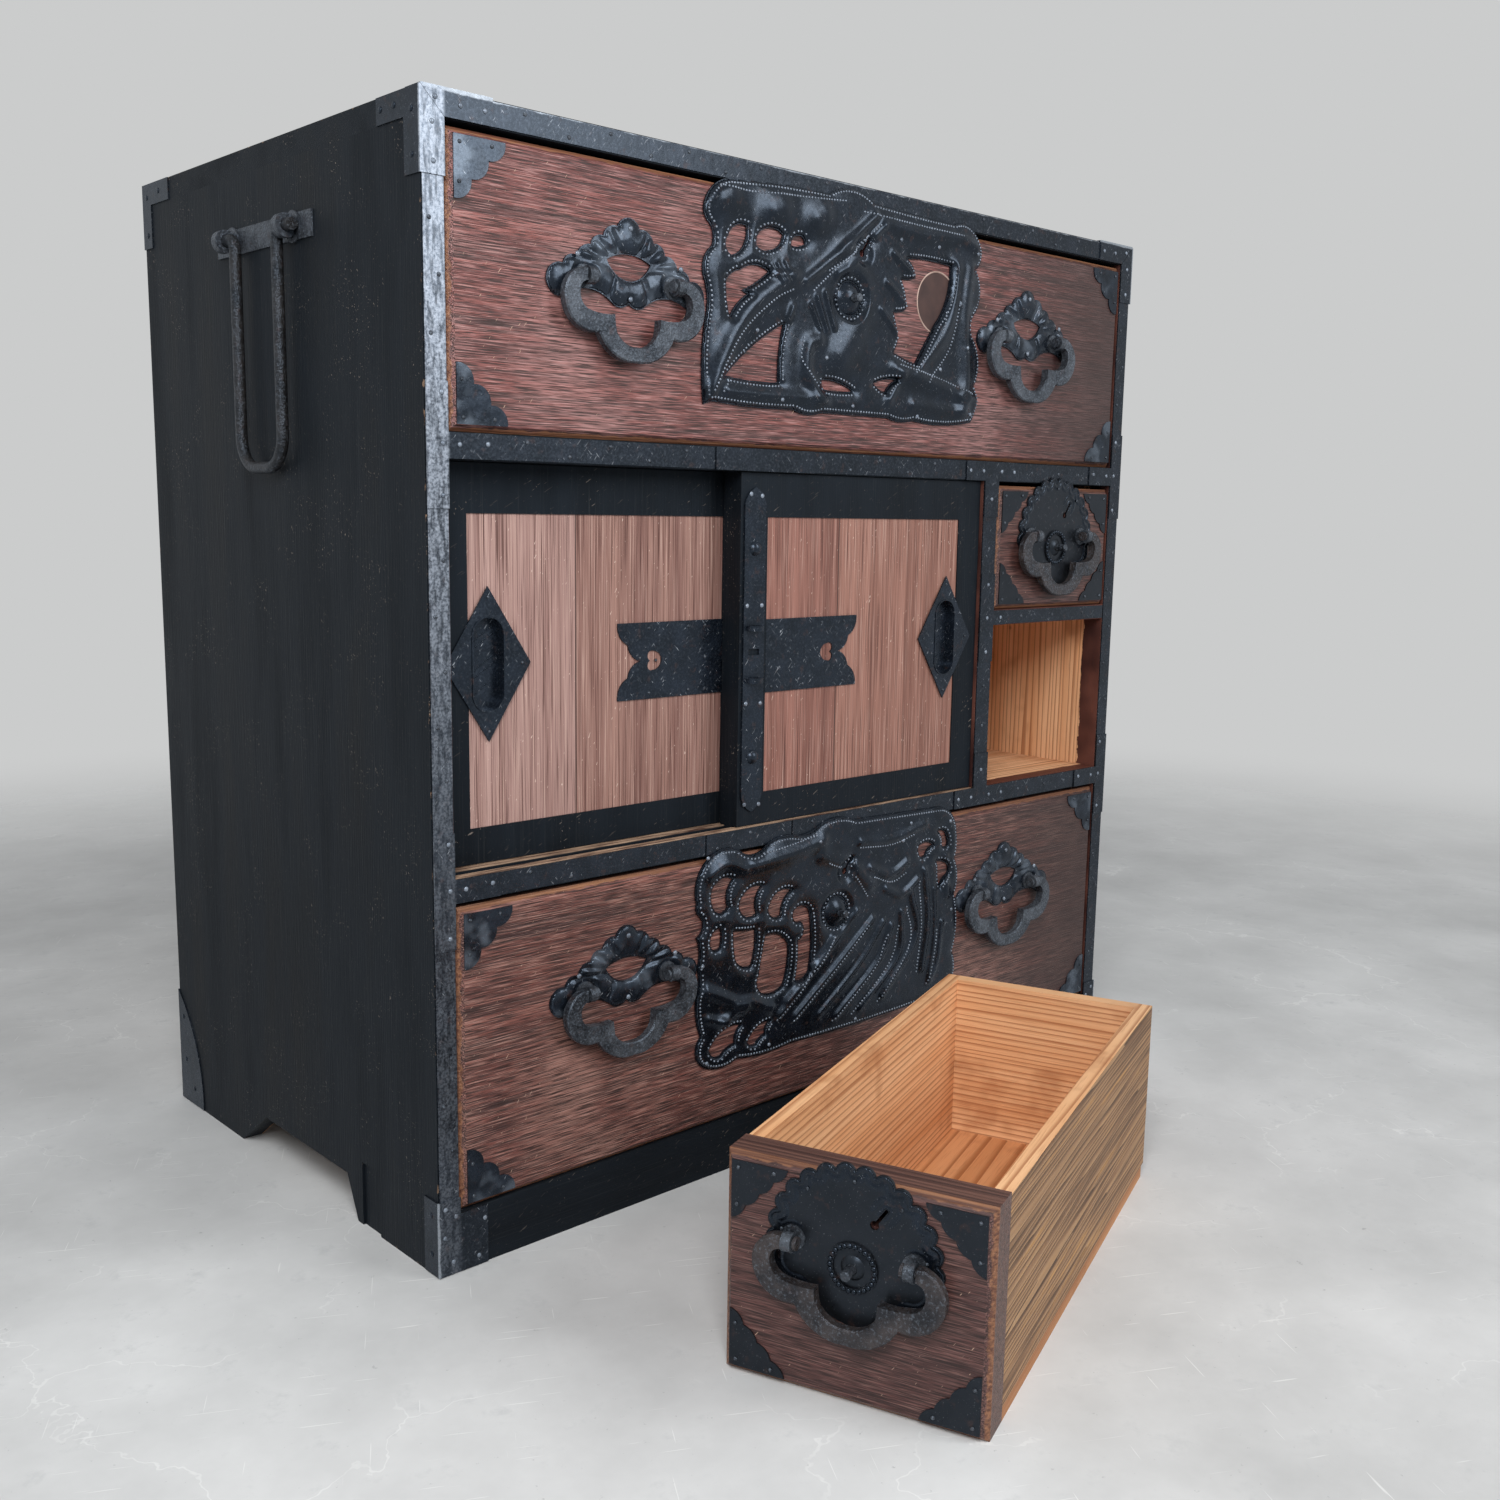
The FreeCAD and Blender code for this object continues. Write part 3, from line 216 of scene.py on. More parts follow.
def panel_wood(name, seam, *boards):
    """Two quarter-sawn paulownia boards, each of two hex colours, glued edge to edge at the
    seam's x and thinly stained: long straight fibres, rubbed paler, with dark pores."""
    material, node, shader = finish(name, Specular_IOR_Level=0.4)
    at = own_mm(node)
    x = node("SeparateXYZ", at, out="X")[0]
    slow = fibre(node, at, 9.0, "z", 160.0)
    band = fibre(node, at, 2.6, "z", 260.0)
    fine = fibre(node, at, 0.6, "z", 120.0, 2.0)
    one, two = (node("ValToRGB", slow, stops=list(zip((0.33, 0.67), pair))) for pair in boards)
    tint = node(MIX, node(OVER, x, seam), one, two)
    tint = coats(node, tint, (band, 0.46, 0.32, 0.5, "#5f3a30"),
                 (fine, 0.48, 0.34, 0.85, "#472620"), (fine, 0.54, 0.72, 0.6, "#cfb1a4"))
    tint = scored(node, at, tint, [((0.4, 1.2, 0.3), 0.74)], 0.8, 5.0, 1.0, "#d9c2b4")
    off = node(SIZE, node(LESS, x, seam))
    gap = node(SMOOTH, off, 0.6, 0.2, 0.0, 0.8)
    tint = node(MIX, gap, tint, "#2a1612")
    rough = node("MapRange", fine, 0.3, 0.7, 0.62, 0.45)
    surface(node, shader, tint, rough, node(LESS, fine, gap), 0.35)
    return material


def bare_tint(node, at, along, across, tones, width=4.4, wander=26.0):
    """Bare cedar or paulownia, yellowed: thin brown late wood between pale bands, with
    stains and a few knots. tones are hex colours, pale to dark. Returns the grain too."""
    pale, mid, dark = tones
    slow = fibre(node, at, 24.0, along, 14.0)
    late = rings(node, at, along, across, width, wander, 40.0)
    fine = fibre(node, at, 0.7, along, 45.0)
    stain = node("TexNoise", at, 1.0 / 48.0, 3.0, 0.6)
    knots = node("TexVoronoi", at, 1.0 / 62.0)
    tint = node("ValToRGB", slow, stops=[(0.34, mid), (0.6, pale)])
    tint = coats(node, tint, (late, 0.5, 0.97, 0.75, dark), (fine, 0.5, 0.72, 0.35, dark),
                 (stain, 0.54, 0.72, 0.45, dark), (knots, 0.05, 0.025, 0.75, "#4f2d1c"))
    return tint, fine


GOLD = ("#f0c193", "#dfa473", "#a0623a")
AMBER = ("#dca374", "#c68858", "#955930")
HONEY = ("#efc096", "#dda578", "#96603c")
AGED = ("#a07c5c", "#7e5f45", "#523828")


def bare_wood(name, along, across, tones):
    """Planed softwood board that was never painted."""
    material, node, shader = finish(name, Roughness=0.6, Specular_IOR_Level=0.3)
    tint, fine = bare_tint(node, own_mm(node), along, across, tones)
    surface(node, shader, tint, None, fine, 0.3)
    return material


def drawer_box_wood(name, place, half):
    """Drawer walls with the grain lengthwise, round the corner on to the back, and a floor
    of a wilder board. Outside the walls are smoky brown, rubbed to gold near the top."""
    material, node, shader = finish(name, Roughness=0.6, Specular_IOR_Level=0.3)
    at = own_mm(node, place)
    x, y, z = node("SeparateXYZ", at, out="XYZ")
    aside = node(SIZE, x)
    wall, floor_top = 9.0, 7.0
    ends = node(MOST, node(LESS, aside, half - wall), 0.0)
    walls = node("CombineXYZ", x, y, node(SUM, ends, 0.8, z))
    tint, fine = bare_tint(node, walls, "xy", "z", GOLD, 3.8, 14.0)
    board, _ = bare_tint(node, at, "y", "x", AMBER, 9.0, 60.0)
    low = node(UNDER, z, floor_top + 0.1)
    tint = node(MIX, low, tint, board)
    late = rings(node, at, "y", "z", 3.4, 24.0, 30.0)
    soot = fibre(node, at, 4.5, "y", 26.0, 4.0)
    aged = node("ValToRGB", late, stops=[(0.1, "#b08b66"), (0.6, "#8f6b4c"), (0.98, "#523a28")])
    aged = coats(node, aged, (soot, 0.46, 0.68, 0.55, "#4d3626"),
                 (soot, 0.42, 0.3, 0.6, "#c8965a"))
    outer = node(OVER, aside, half - 0.2)
    sooty = node("MapRange", z, floor_top - 0.4, floor_top + 0.4, 0.2, 1.0)
    tint = node(MIX, node(TIMES, outer, sooty), tint, aged)
    surface(node, shader, tint, None, fine, 0.3)
    return material


def lacquered_wood(name, along, inside=None, sill=False, wear=1.0):
    """Softwood under thin black lacquer that has sunk into the grain.

    Its arrises are chipped down to brown wood and its faces scratched. inside gives faces
    that were never lacquered: (half width, front edge in y, across), with a red-brown
    strip in front of that edge. sill rubs the top of the lower rail down to pale wood.
    """
    material, node, shader = finish(name, Specular_IOR_Level=0.17,
                                    Specular_Tint=(0.6, 0.78, 1.0, 1.0))
    at = own_mm(node)
    x, y, z = node("SeparateXYZ", at, out="XYZ")
    aside = node(SIZE, x)
    cloud = fibre(node, at, 42.0, along, 6.0)
    fine = fibre(node, at, 1.0, along, 60.0)
    tint = node("ValToRGB", cloud, stops=[(0.3, "#0b0d10"), (0.52, "#14181d"),
                                          (0.72, "#0e1115")])
    tint = coats(node, tint, (fine, 0.56, 0.8, 0.22, "#4a4c4c"))
    patch = node("TexNoise", at, 1.0 / 38.0, 2.0)
    few = node(SMOOTH, patch, 0.5, 0.62, 0.12, 0.9 * wear)
    tint = scored(node, at, tint, [((0.2, 0.5, 0.1), 0.71), ((1.0, 1.9, 0.4), 0.735)],
                  0.9, 9.0, few, "#8c8279")
    wide = node(LESS, WIDE, aside)
    deep = node(LEAST, node(LESS, y, FRONT), node(LESS, BACK, y))
    high = node(LEAST, node(LESS, TOP, z), z)
    arris = node(MOST, wide, node(LEAST, deep, high))
    flakes = fibre(node, at, 3.6, along, 2.0, 4.0)
    chip = node(SUM, flakes, -13.0, arris)
    chip = node(SMOOTH, chip, -7.4, -8.4, 0.0, 0.9 * wear)
    chipped = node("ValToRGB", fine, stops=[(0.4, "#5c4536"), (0.65, "#a08670")])
    tint = node(MIX, chip, tint, chipped)
    rough = node("MapRange", cloud, 0.3, 0.7, 0.46, 0.6)
    if inside:
        half, edge, across = inside
        hidden = node(UNDER, aside, half)
        brown = node("ValToRGB", patch, stops=[(0.35, "#36201d"), (0.65, "#6a4238")])
        tint = node(MIX, hidden, tint, brown)
        ragged = node(SUM, flakes, 5.0, y)
        behind = node(OVER, ragged, edge + 2.5)
        behind = node(TIMES, hidden, behind)
        old, _ = bare_tint(node, at, along, across, HONEY)
        tint = node(MIX, behind, tint, old)
        rough = node(MOST, rough, node(TIMES, behind, 0.6))
    if sill:
        top = node("MapRange", z, SILL - 0.8, SILL - 0.2)
        smear = fibre(node, at, 2.4, "x", 12.0)
        rubbed = node("ValToRGB", smear, stops=[(0.36, "#4a3128"), (0.62, "#b59880")])
        lip = node(TIMES, top, node(UNDER, x, DIVIDER))
        tint = node(MIX, lip, tint, rubbed)
        old, _ = bare_tint(node, at, "x", "y", HONEY)
        strip = node(OVER, y, node(SUM, smear, 8.0, -2.0))
        old = node(MIX, strip, "#5a342a", old)
        bay = node(TIMES, top, node(OVER, x, SMALL))
        tint = node(MIX, bay, tint, old)
    surface(node, shader, tint, rough, node(SUM, chip, -2.0, fine), 0.25)
    return material


# ---- metals
def black_iron(name, tones, rubbed, pits, blows, rough, scars=0.7, bared=0.0, post=False):
    """Thin hammered wrought iron under baked black lacquer.

    tones are the lacquer's two hex colours. rubbed is how much of its grain has gone grey,
    pits the depth of its pitting, blows that of the hammer marks, and scars the strength of
    its scratches. bared is how far its worn patches show smooth steel. post is for the
    case's straps and sleeves: the post nearest to the hand has lost most of its lacquer,
    and the front arrises are rubbed bright.
    """
    material, node, shader = finish(name, Metallic=0.2, Specular_IOR_Level=0.5,
                                    Specular_Tint=(0.62, 0.78, 1.0, 1.0))
    at = own_mm(node)
    x, y, z = node("SeparateXYZ", at, out="XYZ")
    cloud = node("TexNoise", at, 1.0 / 13.0, 4.0, 0.6)
    fine = node("TexNoise", at, 1.0 / 1.5, 3.0, 0.6)
    rust = node("TexNoise", at, 1.0 / 6.0, 5.0, 0.6)
    tint = node("ValToRGB", cloud, stops=list(zip((0.35, 0.66), tones)))
    tint = coats(node, tint, (fine, 0.52, 0.68, rubbed, "#7f8995"),
                 (rust, 0.58, 0.72, 0.5, "#3b2a24"))
    if bared:
        patch = node("TexNoise", at, 1.0 / 17.0, 2.0, 0.5)
        tint = coats(node, tint, (patch, 0.5, 0.68, bared, "#77828f"))
    if post:
        front = node("MapRange", y, FRONT - 0.3, FRONT - 0.6)
        near = node(SMOOTH, x, -286.0, -288.5)
        high = node("MapRange", z, 235.0, 480.0, 0.2, 1.0)
        near = node(TIMES, near, high)
        near = node(TIMES, near, front)
        edge = node(LESS, SIDE_FACE, node(SIZE, x))
        edge = node(LEAST, edge, node(LESS, TOP, z))
        edge = node(SUM, cloud, 3.0, edge)
        bright = node(TIMES, front, 0.8)
        tint = coats(node, tint, (edge, 2.8, 1.8, bright, "#9aa1a9"))
        streaks = fibre(node, at, 2.6, "z", 5.0, 4.0)
        kept = node(SMOOTH, streaks, 0.36, 0.56, 0.25, 1.0)
        steel = node("ValToRGB", fine, stops=[(0.3, "#4a515b"), (0.65, "#a3abb7")])
        tint = node(MIX, node(TIMES, near, kept), tint, steel)
    few = node(SMOOTH, cloud, 0.44, 0.6, 0.15, scars)
    tint = scored(node, at, tint, [((0.0, 0.9, 0.0), 0.715), ((0.0, 2.3, 0.0), 0.73)],
                  0.7, 8.0, few, "#bcc2ca")
    dull = node("MapRange", fine, 0.3, 0.7, rough - 0.07, rough + 0.12)
    dents = node("TexVoronoi", at, 1.0 / 5.5, feature="SMOOTH_F1")
    height = node(SUM, fine, pits, node(TIMES, dents, blows))
    surface(node, shader, tint, dull, height, 0.45)
    return material


def copper_sheet(name, dark, light):
    """Rolled sheet copper, burnished and gone dull red-brown between two hex colours."""
    material, node, shader = finish(name, Metallic=0.3)
    cloud = node("TexNoise", own_mm(node), 1.0 / 12.0, 4.0)
    tint = node("ValToRGB", cloud, stops=[(0.3, dark), (0.7, light)])
    surface(node, shader, tint, node("MapRange", cloud, 0.3, 0.7, 0.42, 0.55), cloud, 0.2)
    return material


def concrete_floor():
    """Trowelled concrete, painted pale grey: soft clouds, scuffs, pits, scratches and a few
    hair cracks, which are the edges of bent cells. It fades out afar."""
    material, node, shader = finish("painted_concrete_floor", Specular_IOR_Level=0.3)
    at = own_mm(node)
    cloud = node("TexNoise", at, 1.0 / 190.0, 6.0, 0.62)
    scuff = node("TexNoise", at, 1.0 / 24.0, 5.0, 0.7)
    pits = node("TexNoise", at, 1.0 / 6.0, 4.0, 0.7)
    tint = node("ValToRGB", cloud, stops=[(0.3, "#c2c3c3"), (0.7, "#e2e3e3")])
    tint = coats(node, tint, (scuff, 0.55, 0.75, 0.5, "#bdbfc0"),
                 (pits, 0.35, 0.27, 0.5, "#8f9294"))
    tint = scored(node, at, tint, [((0.0, 0.0, 0.5), 0.72), ((0.0, 0.0, 2.1), 0.735)],
                  1.6, 30.0, 0.6, "#f0f1f0")
    bent = node("TexNoise", at, 1.0 / 45.0, 4.0, 0.6, out=["Color"])[0]
    bent = node("VectorMath", bent, (70.0, 70.0, 0.0), at, operation="MULTIPLY_ADD")
    crack = node("TexVoronoi", bent, 1.0 / 150.0, feature="DISTANCE_TO_EDGE")
    patchy = node("MapRange", cloud, 0.48, 0.56, 0.0, 0.4)
    tint = coats(node, tint, (crack, 0.006, 0.002, patchy, "#f4f5f4"))
    surface(node, shader, tint, node("MapRange", cloud, 0.3, 0.7, 0.5, 0.7), cloud, 1.0)
    flat = node(SCALE, at, (1.0, 1.0, 0.0))
    away = node("VectorMath", flat, operation="LENGTH", out=["Value"])[0]
    fade = node(SMOOTH, away, 800.0, 1900.0)
    both = node("MixShader", fade, shader.outputs[0], node("BsdfTransparent"))
    tree = material.node_tree
    tree.links.new(both, tree.nodes["Material Output"].inputs["Surface"])
    return material


# ---- meshes
def settle(points, place=CASE):
    """Points in a piece's own frame, in mm, turned about z and moved to the chest's, in m."""
    (x0, y0, z0), turn = place
    c, s = math.cos(turn), math.sin(turn)
    x, y, z = points[..., 0], points[..., 1], points[..., 2]
    return np.stack([x * c - y * s + x0, x * s + y * c + y0, z + z0], -1) * MM


def new_object(name, data):
    """Object of a mesh, a lamp or a camera, linked to the scene."""
    obj = bpy.data.objects.new(name, data)
    bpy.context.scene.collection.objects.link(obj)
    return obj


def shape(name, points, faces, material, smooth=True):
    """Mesh object from points in metres and rows of corner numbers."""
    mesh = bpy.data.meshes.new(name)
    mesh.from_pydata(points.reshape(-1, 3).tolist(), [], faces)
    mesh.polygons.foreach_set("use_smooth", np.full(len(faces), smooth))
    mesh.materials.append(material)
    mesh.update()
    return new_object(name, mesh)


def piece(name, points, faces, body, material):
    """Smooth shape that rides on a body."""
    obj = shape(name, points, faces, material)
    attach(obj, body)


def squares(rows, columns, *wrap):
    """Corner numbers of the squares between rows of points that are numbered row by row.

    wrap is 1 where the last row, then the last column, is joined to the first, or else 0.
    """
    grid = np.arange(rows * columns).reshape(rows, columns)
    grid = np.pad(grid, [(0, more) for more in wrap or (0, 0)], "wrap")
    corners = [grid[:-1, :-1], grid[:-1, 1:], grid[1:, 1:], grid[1:, :-1]]
    return np.stack(corners, -1).reshape(-1, 4)


def turned(name, body, material, spots, profile, out=(0, -1, 0), place=CASE, sides=8):
    """Closed turned shapes: a profile of (radius, height) rows carried round an axis.

    Point = spot + radius * (u cos a + v sin a) + height * out. The first profile row is
    the foot's rim and the last its apex, of radius 0. The foot's middle is 0.1 mm deeper
    than its rim. out is level, and spots are in the piece's own mm.
    """
    spots, out = np.asarray(spots, float), np.asarray(out, float)
    u = np.cross(out, (0, 0, 1))
    v = np.cross(out, u)
    a = np.linspace(0, 2 * np.pi, sides, endpoint=False)[:, None]
    r, h = np.asarray(profile, float).T
    rows = r[:-1, None, None] * (np.cos(a) * u + np.sin(a) * v) + h[:-1, None, None] * out
    one = np.vstack([rows.reshape(-1, 3), h[-1] * out, (h[0] - 0.1) * out])
    walls = squares(len(rows), sides, 0, 1)
    i = np.arange(sides)
    j = (i + 1) % sides
    last = (len(rows) - 1) * sides
    tops = np.stack([last + i, last + j, np.full(sides, len(one) - 2)], 1)
    feet = np.stack([j, i, np.full(sides, len(one) - 1)], 1)
    step = np.arange(len(spots))[:, None, None] * len(one)
    faces = []
    for kind in (walls, tops, feet):
        faces += (kind + step).reshape(-1, kind.shape[1]).tolist()
    piece(name, settle(spots[:, None] + one, place), faces, body, material)


def head(radius, height):
    """Profile of a round nail head: radius r cos t, height h sin t, t from 0 to 90."""
    return [(radius, 0.0), (radius * 0.9, height * 0.5), (radius * 0.5, height * 0.9), (0, height)]


def hoop(name, body, material, centre, radius, half, high, place=CASE):
    """Ring on a plate: a half ellipse, half wide and high tall, carried round a circle.

    The ellipse runs 0.3 radians on at both ends, so that it is rooted in the plate.
    """
    around, across = 64, 7
    a = np.linspace(0, 2 * np.pi, around, endpoint=False)[:, None]
    t = np.linspace(-0.3, np.pi + 0.3, across)
    r = radius + half * np.cos(t)
    points = np.stack([centre[0] + r * np.cos(a), centre[1] - high * np.sin(t) + 0 * a,
                       centre[2] + r * np.sin(a)], -1)
    faces = squares(around, across, 1, 1).tolist()
    piece(name, settle(points, place), faces, body, material)


def curve(*anchors, step=1.0):
    """Smooth path through anchors: a Catmull-Rom cubic on each run, sampled every step mm."""
    p = np.asarray(anchors, float)
    p = np.vstack([2 * p[0] - p[1], p, 2 * p[-1] - p[-2]])
    runs = []
    for a, b, c, d in zip(p, p[1:], p[2:], p[3:]):
        t = np.linspace(0, 1, max(2, int(np.linalg.norm(c - b) / step)), endpoint=False)[:, None]
        runs.append(0.5 * (2 * b + (c - a) * t + (2 * a - 5 * b + 4 * c - d) * t ** 2
                           + (3 * b - 3 * c + d - a) * t ** 3))
    return np.vstack(runs + [p[-2:-1]])


def distances(path):
    """Distance along a path to each of its points."""
    return np.concatenate([[0], np.cumsum(np.linalg.norm(np.diff(path, axis=0), axis=1))])


def trail(*anchors, every=2.4):
    """Spots along a smooth path, evenly apart."""
    path = curve(*anchors, step=0.5)
    far = distances(path)
    at = np.arange(0, far[-1], every)
    return np.stack([np.interp(at, far, path[:, i]) for i in (0, 1)], 1)


def at_depth(spots, y):
    """Spots given in x and z, set at a depth y, which is one number or one for each."""
    x, z = np.asarray(spots, float).T
    return np.stack([x, np.broadcast_to(y, x.shape), z], 1)


def circle(count, radius, y):
    """Spots evenly round a plate's centre, from its right side on."""
    a = np.linspace(0, 2 * np.pi, count, endpoint=False)
    return at_depth(radius * np.stack([np.cos(a), np.sin(a)], 1), y)


def beyond(x, z, centre, radius, run):
    """0 within a radius of a centre, rising evenly to 1 over the next run of mm."""
    return np.clip((np.hypot(x - centre[0], z - centre[1]) - radius) / run, 0, 1)


def plate_rim(node, place):
    """Closed boundary runs of a plate's front face, in its own x and z, in mm.

    They are the edges that only one of the face's triangles has, put in order.
    """
    mesh = NODES[node].data
    spots = np.empty(len(mesh.vertices) * 3, np.float32)
    mesh.vertices.foreach_get("co", spots)
    (x0, y0, z0), turn = place
    c, s = math.cos(turn), math.sin(turn)
    x, y, z = spots.reshape(-1, 3).T / MM - np.array([[x0], [y0], [z0]])
    own = np.stack([x * c + y * s, -x * s + y * c, z], 1)
    tris = np.empty(len(mesh.polygons) * 3, np.int32)
    mesh.polygons.foreach_get("vertices", tris)
    tris = tris.reshape(-1, 3)
    flat = tris[np.abs(own[tris][..., 1] + PLATE).max(1) < 0.03]
    keys, index = np.unique(np.round(own[flat][..., (0, 2)].reshape(-1, 2), 2), axis=0,
                            return_inverse=True)
    index = index.reshape(-1, 3)
    edges = np.sort(np.vstack([index[:, (0, 1)], index[:, (1, 2)], index[:, (2, 0)]]), 1)
    edges, seen = np.unique(edges, axis=0, return_counts=True)
    left_over = {}
    for a, b in edges[seen == 1].tolist():
        left_over.setdefault(a, []).append(b)
        left_over.setdefault(b, []).append(a)
    loops = []
    while left_over:
        at = next(iter(left_over))
        loop = [at]
        while left_over.get(at):
            following = left_over[at].pop()
            left_over[following].remove(at)
            if not left_over[at]:
                del left_over[at]
            at = following
            loop.append(at)
        left_over.pop(at, None)
        loops.append(keys[loop])
    return [loop for loop in loops if len(loop) > 3]


def segments(loops):
    """The single edges of runs of points, each as its two ends."""
    return np.vstack([np.stack([loop[:-1], loop[1:]], 1) for loop in loops])


BLOCK = 4000                    # spots that are measured at a time


def nearest(spots, runs):
    """Distance from each spot to the nearest of the runs."""
    a, b = runs[:, 0], runs[:, 1]
    way = b - a
    size = np.maximum((way ** 2).sum(1), 1e-9)
    found = []
    for i in range(0, len(spots), BLOCK):
        to = spots[i:i + BLOCK, None] - a
        t = np.clip((to * way).sum(2) / size, 0, 1)
        found.append(np.sqrt(((to - t[..., None] * way) ** 2).sum(2).min(1)))
    return np.concatenate(found)


def on_iron(spots, runs):
    """Even-odd test: a ray to the right of a spot inside crosses an odd number of runs."""
    (ax, az), (bx, bz) = runs[:, 0].T, runs[:, 1].T
    slope = (bx - ax) / np.where(bz == az, 1e9, bz - az)
    found = []
    for i in range(0, len(spots), BLOCK):
        x, z = spots[i:i + BLOCK, :1], spots[i:i + BLOCK, 1:]
        cross = (az > z) != (bz > z)
        found.append((cross & (x < ax + (z - az) * slope)).sum(1) % 2 == 1)
    return np.concatenate(found)


def ridges(x, z, table):
    """Sum of rounded ridges: height * exp(-(distance / width) squared) along each path."""
    spots = np.stack([x, z], 1)
    lift = np.zeros(len(x))
    for high, wide, *anchors in table:
        path = curve(*anchors, step=2.0)
        low, top = path.min(0) - 3 * wide, path.max(0) + 3 * wide
        near = ((spots > low) & (spots < top)).all(1)
        if near.any():
            far = nearest(spots[near], segments([path]))
            lift[near] += high * np.exp(-(far / wide) ** 2)
    return lift


def raised(name, body, material, loops, place, height, step=0.9):
    """Repousse skin over an openwork plate.

    A grid over the plate, each point lifted off its face by height(x, z, d), with d the
    distance to the iron's nearest edge. Squares with a corner off the iron are left out,
    and a second sheet inside the plate and a wall round it close the skin. The first sheet
    starts 0.05 mm inside the plate's face, and the second is 0.5 mm inside it.
    """
    runs = segments(loops)
    low, high = runs.reshape(-1, 2).min(0), runs.reshape(-1, 2).max(0)
    xs, zs = (np.arange(low[i], high[i] + step, step) for i in (0, 1))
    x, z = (g.ravel() for g in np.meshgrid(xs, zs))
    spots = np.stack([x, z], 1)
    d = nearest(spots, runs)
    on = on_iron(spots, runs) & (d > 0.15)
    lift = np.where(on, height(x, z, d), 0.0)
    cells = squares(len(zs), len(xs))
    cells = cells[on[cells].all(1)]
    used, cells = np.unique(cells, return_inverse=True)
    cells = cells.reshape(-1, 4)
    n = len(used)
    front = at_depth(spots[used], -PLATE + 0.05 - lift[used])
    back = at_depth(spots[used], -PLATE + 0.5)
    sides = np.stack([cells, np.roll(cells, -1, 1)], -1).reshape(-1, 2)
    _, first, seen = np.unique(np.sort(sides, 1), axis=0, return_index=True, return_counts=True)
    border = sides[first[seen == 1]]
    wall = np.stack([border[:, 1], border[:, 0], border[:, 0] + n, border[:, 1] + n], 1)
    faces = np.vstack([cells, cells[:, ::-1] + n, wall]).tolist()
    piece(name, settle(np.vstack([front, back]), place), faces, body, material)


def beaded(loops, every, inwards, room):
    """Spots in rows just inside a plate's edges: even steps along each loop, set inwards.

    A spot is kept where it is on the iron, and not nearer than room to an earlier spot.
    """
    runs = segments(loops)
    rows = []
    for loop in loops:
        way = np.diff(loop, axis=0)
        size = np.linalg.norm(way, axis=1)
        far = distances(loop)
        at = np.arange(every / 2, far[-1], every)
        k = np.clip(np.searchsorted(far, at) - 1, 0, len(way) - 1)
        mid = loop[k] + way[k] * ((at - far[k]) / size[k])[:, None]
        across = np.stack([-way[k, 1], way[k, 0]], 1) / size[k][:, None]
        rows += [mid + inwards * across, mid - inwards * across]
    spots = np.vstack(rows)
    spots = spots[on_iron(spots, runs) & (nearest(spots, runs) > 0.8 * inwards)]
    apart = np.linalg.norm(spots[:, None] - spots, axis=2)
    crowded = (np.tril(apart < room, -1)).any(1)
    return spots[~crowded]


# ---- finishes of the CAD nodes
IRON = black_iron("lacquered_wrought_iron", ("#0d1117", "#1a2029"), 0.05, 0.1, 0.2, 0.26)
FORGED = black_iron("forged_iron_bar", ("#232529", "#4d5157"), 0.35, 1.5, 0.6, 0.28, 0.2)
BROWNED = black_iron("rust_browned_bar", ("#211d1c", "#453d3a"), 0.3, 1.9, 0.7, 0.32, 0.1)
# The side's bails: a darker copy of the browned bar, painted shade standing in for the dimmer
# light on the side.
SHADED_SIDE_BAIL = black_iron("shaded_side_bail_iron", ("#151413", "#2d2a28"), 0.2, 1.9, 0.7, 0.34, 0.1)
STRAP = black_iron("worn_iron_strap", ("#0d1014", "#1b1f26"), 0.06, 0.1, 0.2, 0.26, 0.4,
                   post=True)
CHASED = black_iron("chased_sheet_iron", ("#0a0d12", "#151a22"), 0.0, 0.08, 0.25, 0.22, 0.3)
FLUTED = black_iron("burnished_fan_plate", ("#0c0f14", "#20262f"), 0.0, 0.1, 0.4, 0.2, 0.6,
                    bared=0.35)
MATT = black_iron("matt_round_plate", ("#0f1012", "#18191c"), 0.0, 0.1, 0.1, 0.34, 0.15)
# Beads and nail heads in pale iron: partly wear rubbed bright on the high spots, partly a painted
# glint so that they read as bright points.
RUBBED_AND_GLINTING = black_iron("rubbed_and_glinting_bead", ("#59606a", "#8b94a0"), 0.8, 0.2, 0.2, 0.24, 0.2)
COPPER = copper_sheet("patinated_copper_sheet", "#34211f", "#4a332e")
RIM = copper_sheet("rubbed_copper_edge", "#8f7469", "#c0a79c")
